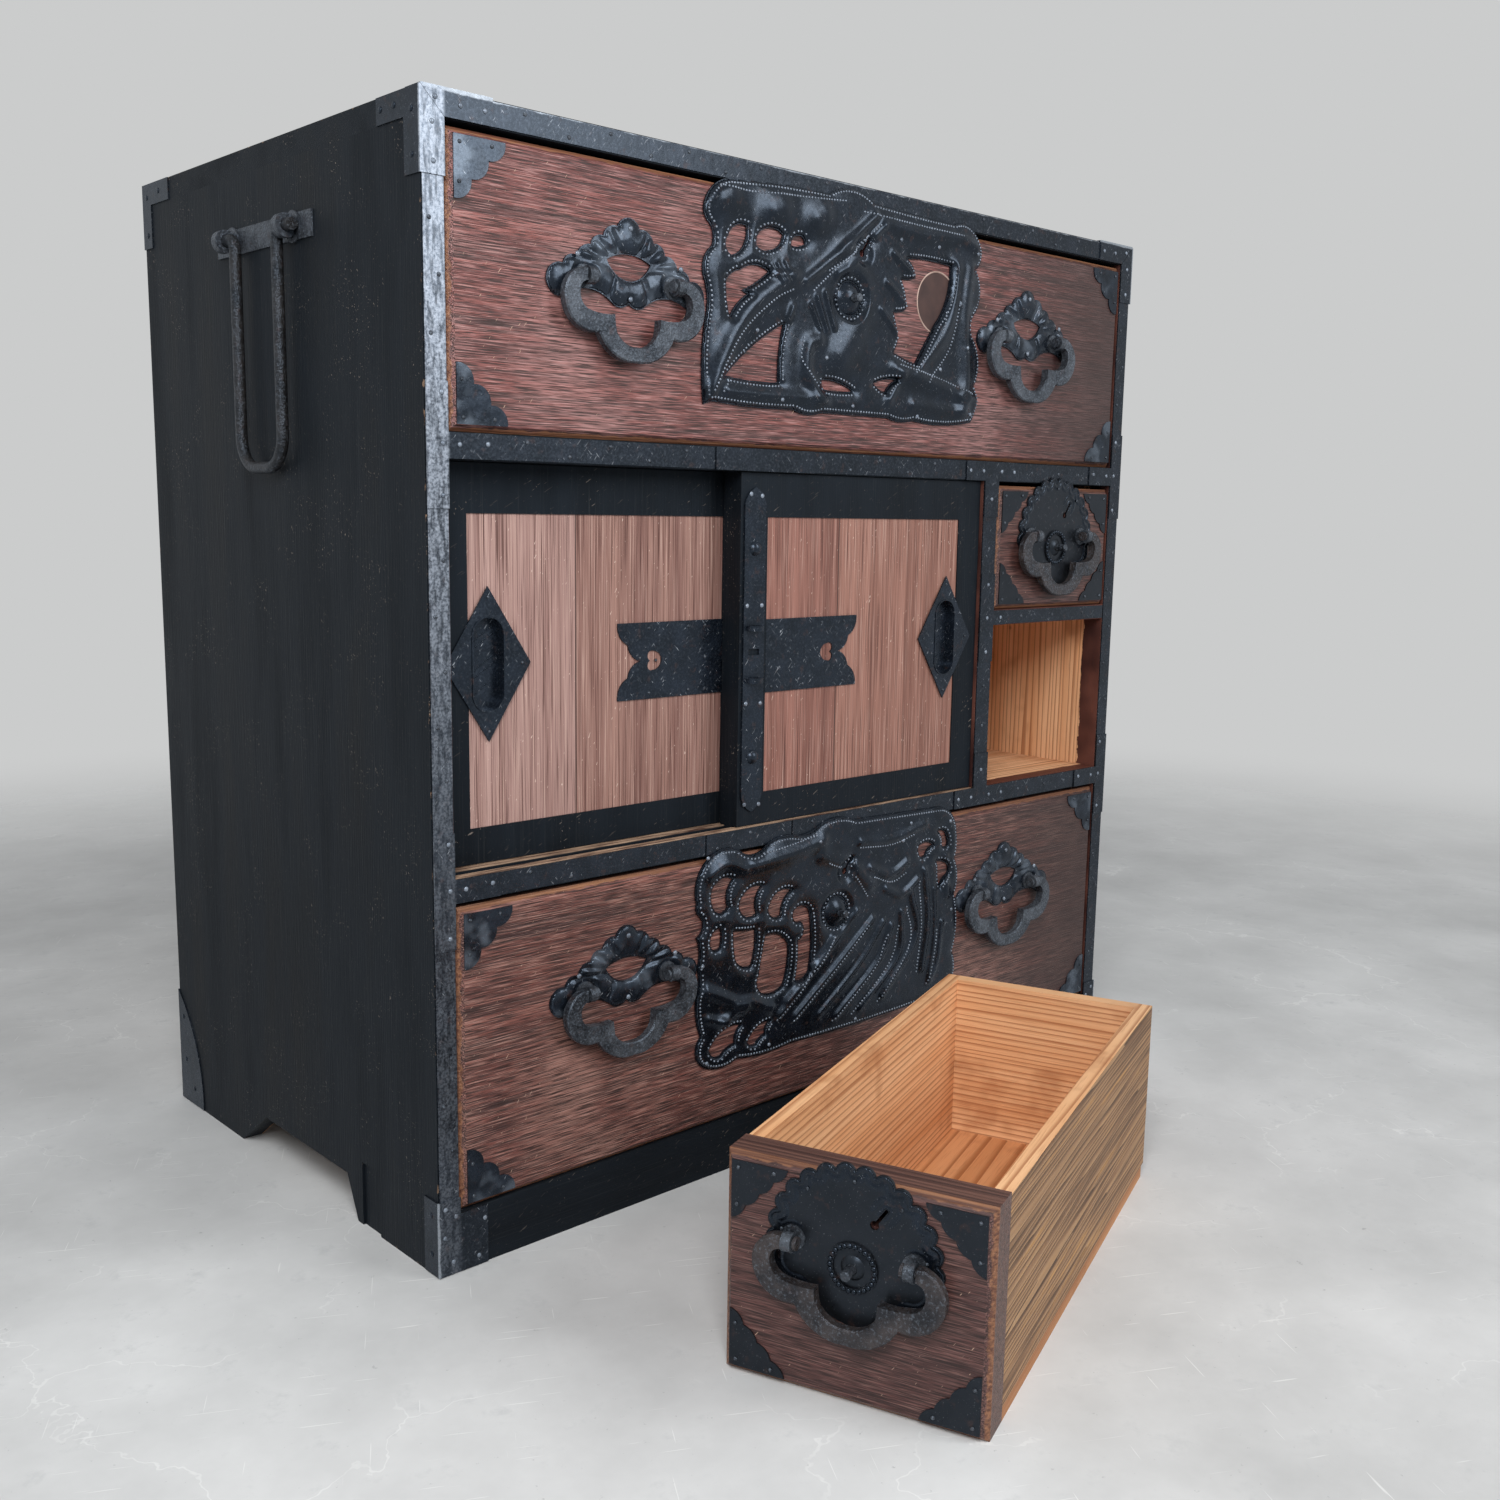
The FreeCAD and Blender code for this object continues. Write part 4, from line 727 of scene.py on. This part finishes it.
# The stain's three colours on each drawer front, dark to mid, then that of its rubbed pale lines,
# which also paints a soft sheen.
FRONTS = {
    "top_drawer": (("#452423", "#693835", "#844a44"), "#ad817d"),
    "bottom_drawer": (("#3f2220", "#5e3630", "#784840"), "#a47c70"),
    "upper_small": (("#3b2120", "#52302c", "#633e38"), "#85625a"),
    "loose_drawer": (("#3a201f", "#50302d", "#613c38"), "#7f5d56")}
FINISHES = {
    "side_left": lacquered_wood("lacquered_side_board", "z", (287.5, 6.0, "y")),
    "top_board": lacquered_wood("lacquered_top_board", "x"),
    "base_rail": lacquered_wood("lacquered_rail", "x", wear=0.6),
    "lower_rail": lacquered_wood("lacquered_sill", "x", sill=True),
    "left_door_frame": lacquered_wood("lacquered_door_frame", "z", wear=0.8),
    "divider": lacquered_wood("divider_board", "z", (WIDE, 6.0, "y")),
    "small_shelf": lacquered_wood("shelf_board", "x", (WIDE, 6.0, "y")),
    "dust_boards": bare_wood("planed_cedar_dust_board", "x", "y", HONEY),
    "bottom_board": bare_wood("planed_cedar_bottom", "x", "y", AGED),
    "back_boards": bare_wood("planed_cedar_back", "x", "z", AGED),
    "left_door_panel": panel_wood("stained_left_panel", -194.0, ("#8f6e67", "#af8f87"),
                                  ("#7c5951", "#9a766b")),
    "right_door_panel": panel_wood("stained_right_panel", -2.0, ("#754c42", "#97695d"),
                                   ("#7f564a", "#a07466")),
    "lock_bar": IRON, "left_door_irons": IRON, "right_door_irons": IRON,
    "side_handle_mounts": FORGED, "side_bail_left": SHADED_SIDE_BAIL, "side_bail_right": SHADED_SIDE_BAIL,
    "front_straps": STRAP, "joint_sleeves": STRAP, "top_drawer_moon_disc": COPPER}
FINISHES["side_right"] = FINISHES["side_left"]
FINISHES["upper_rail"] = FINISHES["base_rail"]
FINISHES["right_door_frame"] = FINISHES["left_door_frame"]
for drawer, (place, size) in DRAWERS.items():
    small = size[0] < SMALL_FRONT
    FINISHES[drawer + "_front"] = stained_wood("stained_front_of_" + drawer, place, size,
                                               *FRONTS[drawer])
    FINISHES[drawer + "_box"] = drawer_box_wood("planed_box_of_" + drawer, place, size[0])
    for look, parts in ((MATT if small else CHASED, ("lock_plate", "lock_case")),
                        (MATT if small else FLUTED, ("pull_plates", "corner_irons")),
                        (FORGED, ("bail_left", "bail_right", "pull_posts", "lock_button")),
                        (BROWNED, ("bail",))):
        for part in parts:
            FINISHES["%s_%s" % (drawer, part)] = look
for node, obj in NODES.items():
    for slot in obj.material_slots:
        slot.material = FINISHES[node]


# ---- seams of the back
def back_tongues(seams, middle, half):
    """Loose wooden tongues that keep daylight out of the back's seams, one box for each
    height: every corner is the middle plus or minus half the length, depth and thickness."""
    signs = np.array([(a, b, c) for a in (-1, 1) for b in (-1, 1) for c in (-1, 1)])
    points = np.array([(0.0, middle, z) for z in seams])[:, None] + signs * half
    sides = [(0, 1, 3, 2), (4, 6, 7, 5), (0, 4, 5, 1), (2, 3, 7, 6), (0, 2, 6, 4), (1, 5, 7, 3)]
    faces = (np.arange(len(seams))[:, None, None] * len(signs) + np.array(sides)).reshape(-1, 4)
    piece("back_tongues", settle(points), faces.tolist(), "case", FINISHES["back_boards"])


# Three back boards, each with an open seam over it.
BOARD_STEP = (TOP_BOARD - BASE_TOP) / 3
SEAM, BACK_BOARD = 0.4, 9.0
back_tongues([BASE_TOP + k * BOARD_STEP - SEAM / 2 for k in (1, 2, 3)], BACK - BACK_BOARD / 2,
             (286.9, 1.5, 0.22))

# ---- nails of the case
# Middles of the irons: heights of the straps on the two rails, the top board and the shelf,
# x of the divider's strap, and x of the doors' meeting, where the upper rail has no nails.
RAILS, TOP_STRAP, SHELF_STRAP = (211.3, 438.8), 599.6, 337.8
DIVIDER_STRAP, MEETING, MEETING_HALF = 144.8, -70.0, 43.0
# The sleeves' nails: x inwards from the case's side; z from the rail's middle at the tees.
TEE = [(9.5, 0.8), (9, -24.7), (9, 25.5), (19, 0.5), (35.5, 1.2)]
CORNERS = [(3.5, 38.5), (10, 33), (3, 22.5), (28, 26.5), (24, 6), (8, 7.5),
           (6.5, 572), (6, 590), (8, 601.5), (22, 599.8), (36, 599.8)]
sleeve_nails = []
for side in (-1, 1):
    sleeve_nails += [(side * (WIDE - x), mid + z) for mid in RAILS for x, z in TEE]
    sleeve_nails += [(side * (WIDE - x), z) for x, z in CORNERS]
for z, turn in zip(RAILS, (1, -1)):
    sleeve_nails += [(DIVIDER_STRAP + x, z) for x in (-24, -10, 10, 24)]
    sleeve_nails += [(DIVIDER_STRAP, z + turn * 19)]
sleeve_nails += [(DIVIDER_STRAP, z) for z in (SHELF_STRAP, 361, 314)]
sleeve_nails += [(160, SHELF_STRAP)]
turned("sleeve_nails", "case", RUBBED_AND_GLINTING, at_depth(sleeve_nails, SLEEVE_FACE), head(1.4, 0.7))

strap_nails = []
for z in RAILS + (TOP_STRAP,):
    strap_nails += [(x, z + 3.2 * (-1) ** k) for k, x in enumerate(np.arange(-240, 100, 27))
                    if z != RAILS[1] or abs(x - MEETING) > MEETING_HALF]
strap_nails += [(x, TOP_STRAP + 3.0 * (-1) ** k)
                for k, x in enumerate(np.arange(125, 255, 27))]
strap_nails += [(x, z) for x in (190, 222, 246) for z in RAILS]
POST_NAILS = [70, 96, 122, 148, 270, 298, 326, 354, 382, 492, 520, 546]
strap_nails += [(s * 293.5 + 2.5 * (-1) ** k, z) for s in (-1, 1)
                for k, z in enumerate(POST_NAILS)]
strap_nails += [(DIVIDER_STRAP, z) for z in (262, 290, 386)]
strap_nails += [(x, SHELF_STRAP) for x in (185, 222, 260)]
turned("strap_nails", "case", FORGED, at_depth(strap_nails, STRAP_FACE), head(1.2, 0.6))

SIDE_NAILS = [(-4, 575), (-4, 596), (12, 600), (25, 600), (-4, 12), (-4, 34), (318, 575),
              (318, 598), (300, 600), (318, 60), (316, 30), (304, 12)]
for side, label in ((-1, "left"), (1, "right")):
    turned("side_nails_" + label, "case", IRON, [(side * SIDE_FACE, y, z) for y, z in SIDE_NAILS],
           head(1.8, 0.6), out=(side, 0, 0))

# ---- drawers' irons
# Ridges of the two openwork plates about each lock's centre, in mm: the ridge's height,
# its width and the anchors of its path. Then the paths of their beads, and their nails.
PHOENIX = [
    (2.6, 9, (-106, 44), (-101, 46)), (2.6, 9, (-66, 43), (-61, 45)),
    (2.6, 8, (-31, 43), (-26, 46)),
    (2.4, 5.5, (-116, -67), (-93, -24), (-68, -2), (-48, 6)),
    (1.6, 2.2, (-88, -5), (-70, 6), (-51, 8)),
    (1.4, 2, (-58, -52), (-60, -36), (-50, -10)),
    (2.2, 4.5, (-26, -61), (-37, -47), (-36, -31), (-28, -27)),
    (1.5, 1.5, (-35, -7), (-27, -21)), (1.5, 1.5, (-30, -2), (-21, -21)),
    (1.5, 1.5, (-23, 1), (-15, -19)),
    (1.2, 1.3, (-67, 11), (-60, 3)), (1.2, 1.3, (-63, 13), (-57, 4)),
    (1.2, 1.3, (-57, 15), (-52, 7)),
    (2, 3, (20, 51), (-16, 23), (-40, 6)), (1.6, 2.4, (27, 46), (-1, 21), (-13, 13)),
    (1.5, 2, (37, 31), (59, 18)), (1.5, 2, (32, 13), (53, -1)),
    (1.5, 2, (27, -4), (45, -19)),
    (2.6, 6.5, (98, 29), (90, -9), (64, -34)),
    (2.2, 5, (42, -39), (82, -47), (122, -54)), (1.8, 4, (37, -57), (47, -42)),
    (2.6, 11, (-4, 24), (8, 6), (4, -18), (-8, -34)),
    (1.8, 4, (30, 48), (64, 46), (100, 48), (118, 44)),
    (2, 6, (112, 30), (108, 0), (112, -40), (108, -60)),
    (1.8, 4, (-100, -62), (-60, -62), (-20, -62)), (1.6, 4, (60, -60), (90, -62), (112, -62))]
CRANE = [
    (2, 2.6, (0, -12), (-25, -38), (-52, -58)), (2, 2.6, (33, -10), (0, -35), (-38, -62)),
    (2, 2.6, (52, -18), (40, -40), (0, -70)), (2, 2.6, (72, 0), (78, -30), (45, -66)),
    (2, 2.6, (85, 15), (90, -20), (85, -55)), (1.8, 2.4, (105, -25), (102, -50), (95, -65)),
    (1.6, 2.2, (18, -2), (-12, -26), (-46, -50)), (1.6, 2.2, (44, -14), (22, -38), (-16, -66)),
    (1.6, 2.2, (62, -10), (60, -40), (24, -70)), (1.5, 2, (96, 0), (98, -34), (92, -66)),
    (2.4, 5, (-76, 43), (-46, 45), (-16, 50)), (2.2, 5, (-16, 40), (10, 30), (30, 14)),
    (2, 3, (30, 25), (50, 18), (66, 24)), (2, 3, (46, 8), (62, 2), (78, 10)),
    (1.8, 3, (20, 44), (52, 42), (84, 48)), (2, 3.6, (-112, 42), (-98, 47), (-84, 42)),
    (2.4, 4, (-114, -30), (-98, -38), (-84, -46)),
    (2.2, 4, (-100, -52), (-80, -44), (-60, -52)),
    (1.8, 3, (-112, -48), (-96, -54)), (1.8, 3.4, (110, -6), (108, 20))]
PHOENIX_DOTS = [
    ((-112, -62), (-92, -30), (-66, -8), (-50, 0)), ((-104, -62), (-84, -34)),
    ((24, 46), (-14, 16), (-34, 0)), ((16, 38), (-4, 24), (-20, 14)),
    ((94, 14), (84, -14), (60, -40)), ((102, 8), (94, -22), (72, -46)),
    ((46, -36), (84, -42), (118, -50)), ((-28, -54), (-42, -40), (-40, -26)),
    ((-110, 50), (-84, 50), (-60, 52), (-30, 54), (-6, 56)), ((10, 52), (50, 51), (104, 50))]
CRANE_DOTS = [
    ((-4, -16), (-28, -42), (-54, -62)), ((28, -14), (-4, -40), (-40, -66)),
    ((48, -24), (34, -46), (-4, -74)), ((68, -8), (72, -34), (40, -70)),
    ((80, 8), (84, -24), (80, -58)), ((60, -20), (52, -44), (14, -74)),
    ((20, 40), (50, 38), (74, 42)), ((-10, 34), (12, 24), (28, 6)),
    ((34, 18), (52, 12), (66, 16)), ((100, -30), (97, -52), (90, -68)),
    ((-74, 48), (-44, 51), (-20, 54))]
PHOENIX_NAILS = [(44, 40), (80.6, 40), (119.5, 40.6), (102.4, 7), (110.6, -20.4), (85.6, -36),
                 (118, -63), (4, -64), (-58, -64), (-78, -26), (65, -67), (-21, -37)]
CRANE_NAILS = [(62, 39), (-112, 52), (112, 46), (116, -72), (-112, -76), (-20, 50), (116, -18),
               (20, -77), (-60, -76), (-116, -14), (70, 50)]
# The lock's x and z on its front, then its ridges, beads, nails and keyhole.
LOCKS = {"top_drawer": ((-4.0, 92.5), PHOENIX, PHOENIX_DOTS, PHOENIX_NAILS, (10.5, 28)),
         "bottom_drawer": ((-2.0, 117.5), CRANE, CRANE_DOTS, CRANE_NAILS, (7.5, 26))}


def on_front(drawer, x, z):
    """Place of a fitting on a drawer's front. x is 0 where the drawer is turned."""
    start, turn = DRAWERS[drawer][0]
    return tuple(np.add(start, (x, 0.0, z))), turn


for drawer, (lock, table, rows, nails, key) in LOCKS.items():
    spot = on_front(drawer, *lock)
    loops = plate_rim(drawer + "_lock_plate", spot)
    runs = segments(loops)

    def chased(x, z, d):
        """Swell 2.2 mm away from the edges plus the drawn ridges; flat at the boss and key."""
        swell = 2.2 * (1 - np.exp(-d / 3.0))
        lift = swell + ridges(x, z, table) * (1 - np.exp(-(d / 2.0) ** 2))
        lift = lift * beyond(x, z, (0, 0), 10.5, 5.0) * beyond(x, z, key, 5.0, 4.0)
        return np.minimum(lift, 5.5)

    def on_relief(spots, sunk):
        """Spots set on the relief and sunk into it."""
        lift = chased(spots[:, 0], spots[:, 1], nearest(spots, runs))
        return at_depth(spots, -PLATE - lift + sunk)

    raised(drawer + "_plate_relief", drawer, CHASED, loops, spot, chased)
    dots = np.vstack([beaded(loops, 2.5, 2.4, 1.7)] + [trail(*anchors) for anchors in rows])
    dots = dots[np.hypot(dots[:, 0], dots[:, 1]) > 12.0]
    dots = dots[on_iron(dots, runs) & (nearest(dots, runs) > 1.4)]
    turned(drawer + "_plate_beading", drawer, RUBBED_AND_GLINTING, on_relief(dots, 0.1),
           [(0.8, 0), (0.6, 0.45), (0, 0.7)], place=spot, sides=6)
    turned(drawer + "_plate_nails", drawer, RUBBED_AND_GLINTING, on_relief(np.array(nails, float), 0.2),
           head(1.4, 1.1), place=spot)
    turned(drawer + "_boss_beads", drawer, CHASED, circle(30, 11.4, -PLATE - 0.1),
           [(1.0, 0), (0.7, 0.6), (0, 0.9)], place=spot, sides=6)

FAN_CUSPS = [(40, 9.5), (31, 15), (22.5, 21), (13.5, 27)]
FAN_NAILS = [(0, 27.5), (-35, 10.5), (35, 10.5), (0, -9)]
# A fan's middle from the front's middle and under its top; a post from the fan's middle, the
# flat round it and the run on which the relief rises.
FAN_X, FAN_DOWN, POST_X, POST_FLAT, POST_RUN = 175.0, 61.5, 30.0, 6.2, 3.0
# The seams between the fan's segments, one from the gap to each cusp and two below the gap.
FAN_SEAMS = [(-1.5, 1.5, (s * x * 0.36, 6 + z * 0.2), (s * x, z * 0.99))
             for x, z in FAN_CUSPS for s in (-1, 1)]
FAN_SEAMS += [(-1.2, 1.2, (s * 10.0, 1.0), (s * 15.0, -12.0)) for s in (-1, 1)]


def fluted(x, z, d):
    """Swell of 2 mm, cut into domed segments by the seams; flat at the posts."""
    lift = 2.0 * (1 - np.exp(-d / 3.2)) + ridges(x, z, FAN_SEAMS)
    return np.clip(lift * beyond(np.abs(x), z, (POST_X, 0.0), POST_FLAT, POST_RUN), 0.0, 2.2)


for drawer in LOCKS:
    for side, label in ((-1, "left"), (1, "right")):
        spot = on_front(drawer, side * FAN_X, DRAWERS[drawer][1][1] - FAN_DOWN)
        loops = plate_rim(drawer + "_pull_plates", spot)
        loops = [loop for loop in loops if np.abs(loop[:, 0]).max() < 60]
        label = "%s_fan_%s" % (drawer, label)
        raised(label, drawer, FLUTED, loops, spot, fluted, step=0.8)
        turned(label + "_nails", drawer, RUBBED_AND_GLINTING, at_depth(FAN_NAILS, -PLATE - 1.5),
               head(1.6, 1.0), place=spot)


def scalloped(x, z, d):
    """Thin raised line just inside each petal's edge, dying out before the centre."""
    rim = 0.7 * np.exp(-((d - 1.1) / 0.6) ** 2) + 0.5 * np.exp(-((d - 4.6) / 1.1) ** 2)
    return rim * beyond(x, z, (0.0, 6.0), 24.0, 8.0) * (z > -16) \
        * beyond(np.abs(x), z, (POST_X, 8.0), POST_FLAT, POST_RUN)


for drawer in ("upper_small", "loose_drawer"):
    spot = on_front(drawer, 0.0, DRAWERS[drawer][1][1] - 42.7)
    loops = plate_rim(drawer + "_lock_plate", spot)
    loops = [loop for loop in loops if np.abs(loop).max() > 30]
    raised(drawer + "_scallops", drawer, CHASED, loops, spot, scalloped, step=0.6)
    turned(drawer + "_rosette", drawer, CHASED, circle(26, 11.0, -PLATE - 1.0),
           [(1.5, 0), (1.2, 0.7), (0, 1.2)], place=spot)
    rim_nails = [(36.0 * math.cos(a), -PLATE - 0.6, 6 + 36.0 * math.sin(a))
                 for a in np.radians([8, 50, 90, 130, 172])] + [(0, -PLATE, -31.0)]
    turned(drawer + "_rim_nails", drawer, FORGED, rim_nails, head(1.0, 0.7), place=spot)

# Each corner plate's nails, inwards from 3.5 mm inside the front's corner.
INSET, LEG, CORNER_FACE = 3.5, 22.0, -0.8
for drawer, (place, (wide, tall)) in DRAWERS.items():
    spots = [(s * (wide - INSET - a), CORNER_FACE, z + t * b) for s in (-1, 1)
             for z, t in ((INSET, 1), (tall - INSET, -1))
             for a, b in ((INSET, INSET), (LEG, 3.0), (3.0, LEG))]
    turned(drawer + "_corner_nails", drawer, FORGED, spots, head(1.1, 0.8), place=place)

hoop("moon_rim", "top_drawer", RIM, (80.0, 0.0, 98.5), 19.4, 0.6, 0.35,
     DRAWERS["top_drawer"][0])

# ---- doors' irons
# Nails of the swallow-tailed plates and of the lock bar, x from the case's left side.
LEFT_TAIL = [(s, z) for s in (158, 188, 201) for z in (303, 341)] + [(163, 322), (201, 322)]
RIGHT_TAIL = [(240, 303), (267, 303), (283, 341), (303, 303), (240, 341), (303, 341), (262, 322)]
BAR_NAILS = [(220, 419), (229, 418), (218, 353), (230, 353), (218, 294), (230, 293.5),
             (218, 232), (230, 231)]
# The doors' faces in y and how far behind them their panels are; each finger pull's x,
# and the height and the depth of the cups.
LEFT_DOOR, RIGHT_DOOR, PANEL_BACK = 9.5, -8.0, 0.8
PULL_Z, CUP = 326.0, 5.0
STROKES = [((-6, -8), (6, 0)), ((-6, -4), (6, 4)), ((-6, 8), (6, 16)), ((-6, 12), (6, 20)),
           ((-6, -17), (2, -11))]
for door, face, tail, pull_x in (("left_door", LEFT_DOOR, LEFT_TAIL, -252.5),
                                 ("right_door", RIGHT_DOOR, RIGHT_TAIL, 102.5)):
    spots = [(x - WIDE, face + PANEL_BACK - DOOR_IRON, z) for x, z in tail]
    spots += [(pull_x + x, face - DOOR_IRON, PULL_Z + z)
              for x, z in ((0, 36), (0, -36), (21.5, 0), (-21.5, 0))]
    turned(door + "_nails", door, FORGED, spots, head(1.0, 0.7))
    for k, ends in enumerate(STROKES):
        turned("%s_cup_stroke_%d" % (door, k), door, IRON,
               at_depth(curve(*ends) + (pull_x, PULL_Z), face + CUP),
               [(0.55, 0), (0.4, 0.25), (0, 0.35)], sides=6)
turned("lock_bar_nails", "right_door", RUBBED_AND_GLINTING,
       [(x - WIDE, RIGHT_DOOR - PLATE, z) for x, z in BAR_NAILS], head(1.5, 0.7))

# ---- floor, light and camera
# The floor: rings of spokes round the middle, joined by squares that face up, and a disc.
SPOKES = 96
a = np.linspace(0, 2 * np.pi, SPOKES, endpoint=False)
r = np.array([[600.0], [1200.0], [1800.0], [2400.0]])
points = np.stack([r * np.cos(a), r * np.sin(a),
                         np.zeros((len(r), SPOKES))], -1)
faces = squares(len(r), SPOKES, 0, 1)[:, (0, 3, 2, 1)].tolist()
floor = shape("floor", points * MM, faces + [list(range(SPOKES))],
              concrete_floor(), smooth=False)


def stand(obj, x, y, z, place):
    """Sets an object at a place with its three axes along the given directions."""
    rows = [[x[k], y[k], z[k], place[k]] for k in range(3)]
    obj.matrix_world = Matrix(rows + [[0, 0, 0, 1]])


def area_light(name, place, aim, size, watts):
    """Rectangular lamp at a place, in metres, that faces its aim with its long side level."""
    lamp = bpy.data.lights.new(name, "AREA")
    lamp.shape = "RECTANGLE"
    lamp.size, lamp.size_y = size
    lamp.energy = watts
    z = np.subtract(place, aim)
    z = z / np.linalg.norm(z)
    x = np.cross((0, 0, 1), z)
    x = x / np.linalg.norm(x)
    stand(new_object(name, lamp), x, np.cross(z, x), z, place)


area_light("window_left", (-0.85, -0.75, 1.0), (-0.2, 0.0, 0.35), (0.5, 0.6), 13.0)
area_light("window_front", (0.9, -2.0, 1.4), (-0.1, 0.0, 0.3), (1.0, 1.2), 26.0)
area_light("side_fill", (-2.6, 0.9, 1.5), (-0.3, 0.15, 0.3), (1.4, 1.2), 4.0)

# The sky lights the chest softly, and is shown as a brighter plain grey.
scene = bpy.context.scene
world = bpy.data.worlds.new("pale_room")
world.use_nodes = True
scene.world = world
sky = world.node_tree
sky.nodes.clear()
seen = add(sky, "LightPath", out=["Is Camera Ray", "Is Glossy Ray", "Is Transmission Ray"])
shown = add(sky, MOST, add(sky, MOST, seen[0], seen[1]), seen[2])
lit = add(sky, "Background", "#e6e8ea", 0.4)
back = add(sky, "Background", "#cbcccc", 1.0)
end = sky.nodes.new("ShaderNodeOutputWorld")
sky.links.new(add(sky, "MixShader", shown, lit, back), end.inputs["Surface"])

# The fitted camera: turned about z from the y axis, tipped down, and rolled.
yaw, pitch, roll = (math.radians(v) for v in (43.04, 9.013, 0.926))
ahead = np.array([math.sin(yaw) * math.cos(pitch), math.cos(yaw) * math.cos(pitch),
                  -math.sin(pitch)])
level = np.array([math.cos(yaw), -math.sin(yaw), 0.0])
upright = np.cross(level, ahead)
right = math.cos(roll) * level + math.sin(roll) * upright
up = -math.sin(roll) * level + math.cos(roll) * upright
lens = bpy.data.cameras.new("camera")
lens.lens = lens.sensor_width = 36.0
camera = new_object("camera", lens)
stand(camera, right, up, -ahead, (-0.693, -0.668, 0.4084))
scene.camera = camera
scene.view_settings.view_transform = "Standard"
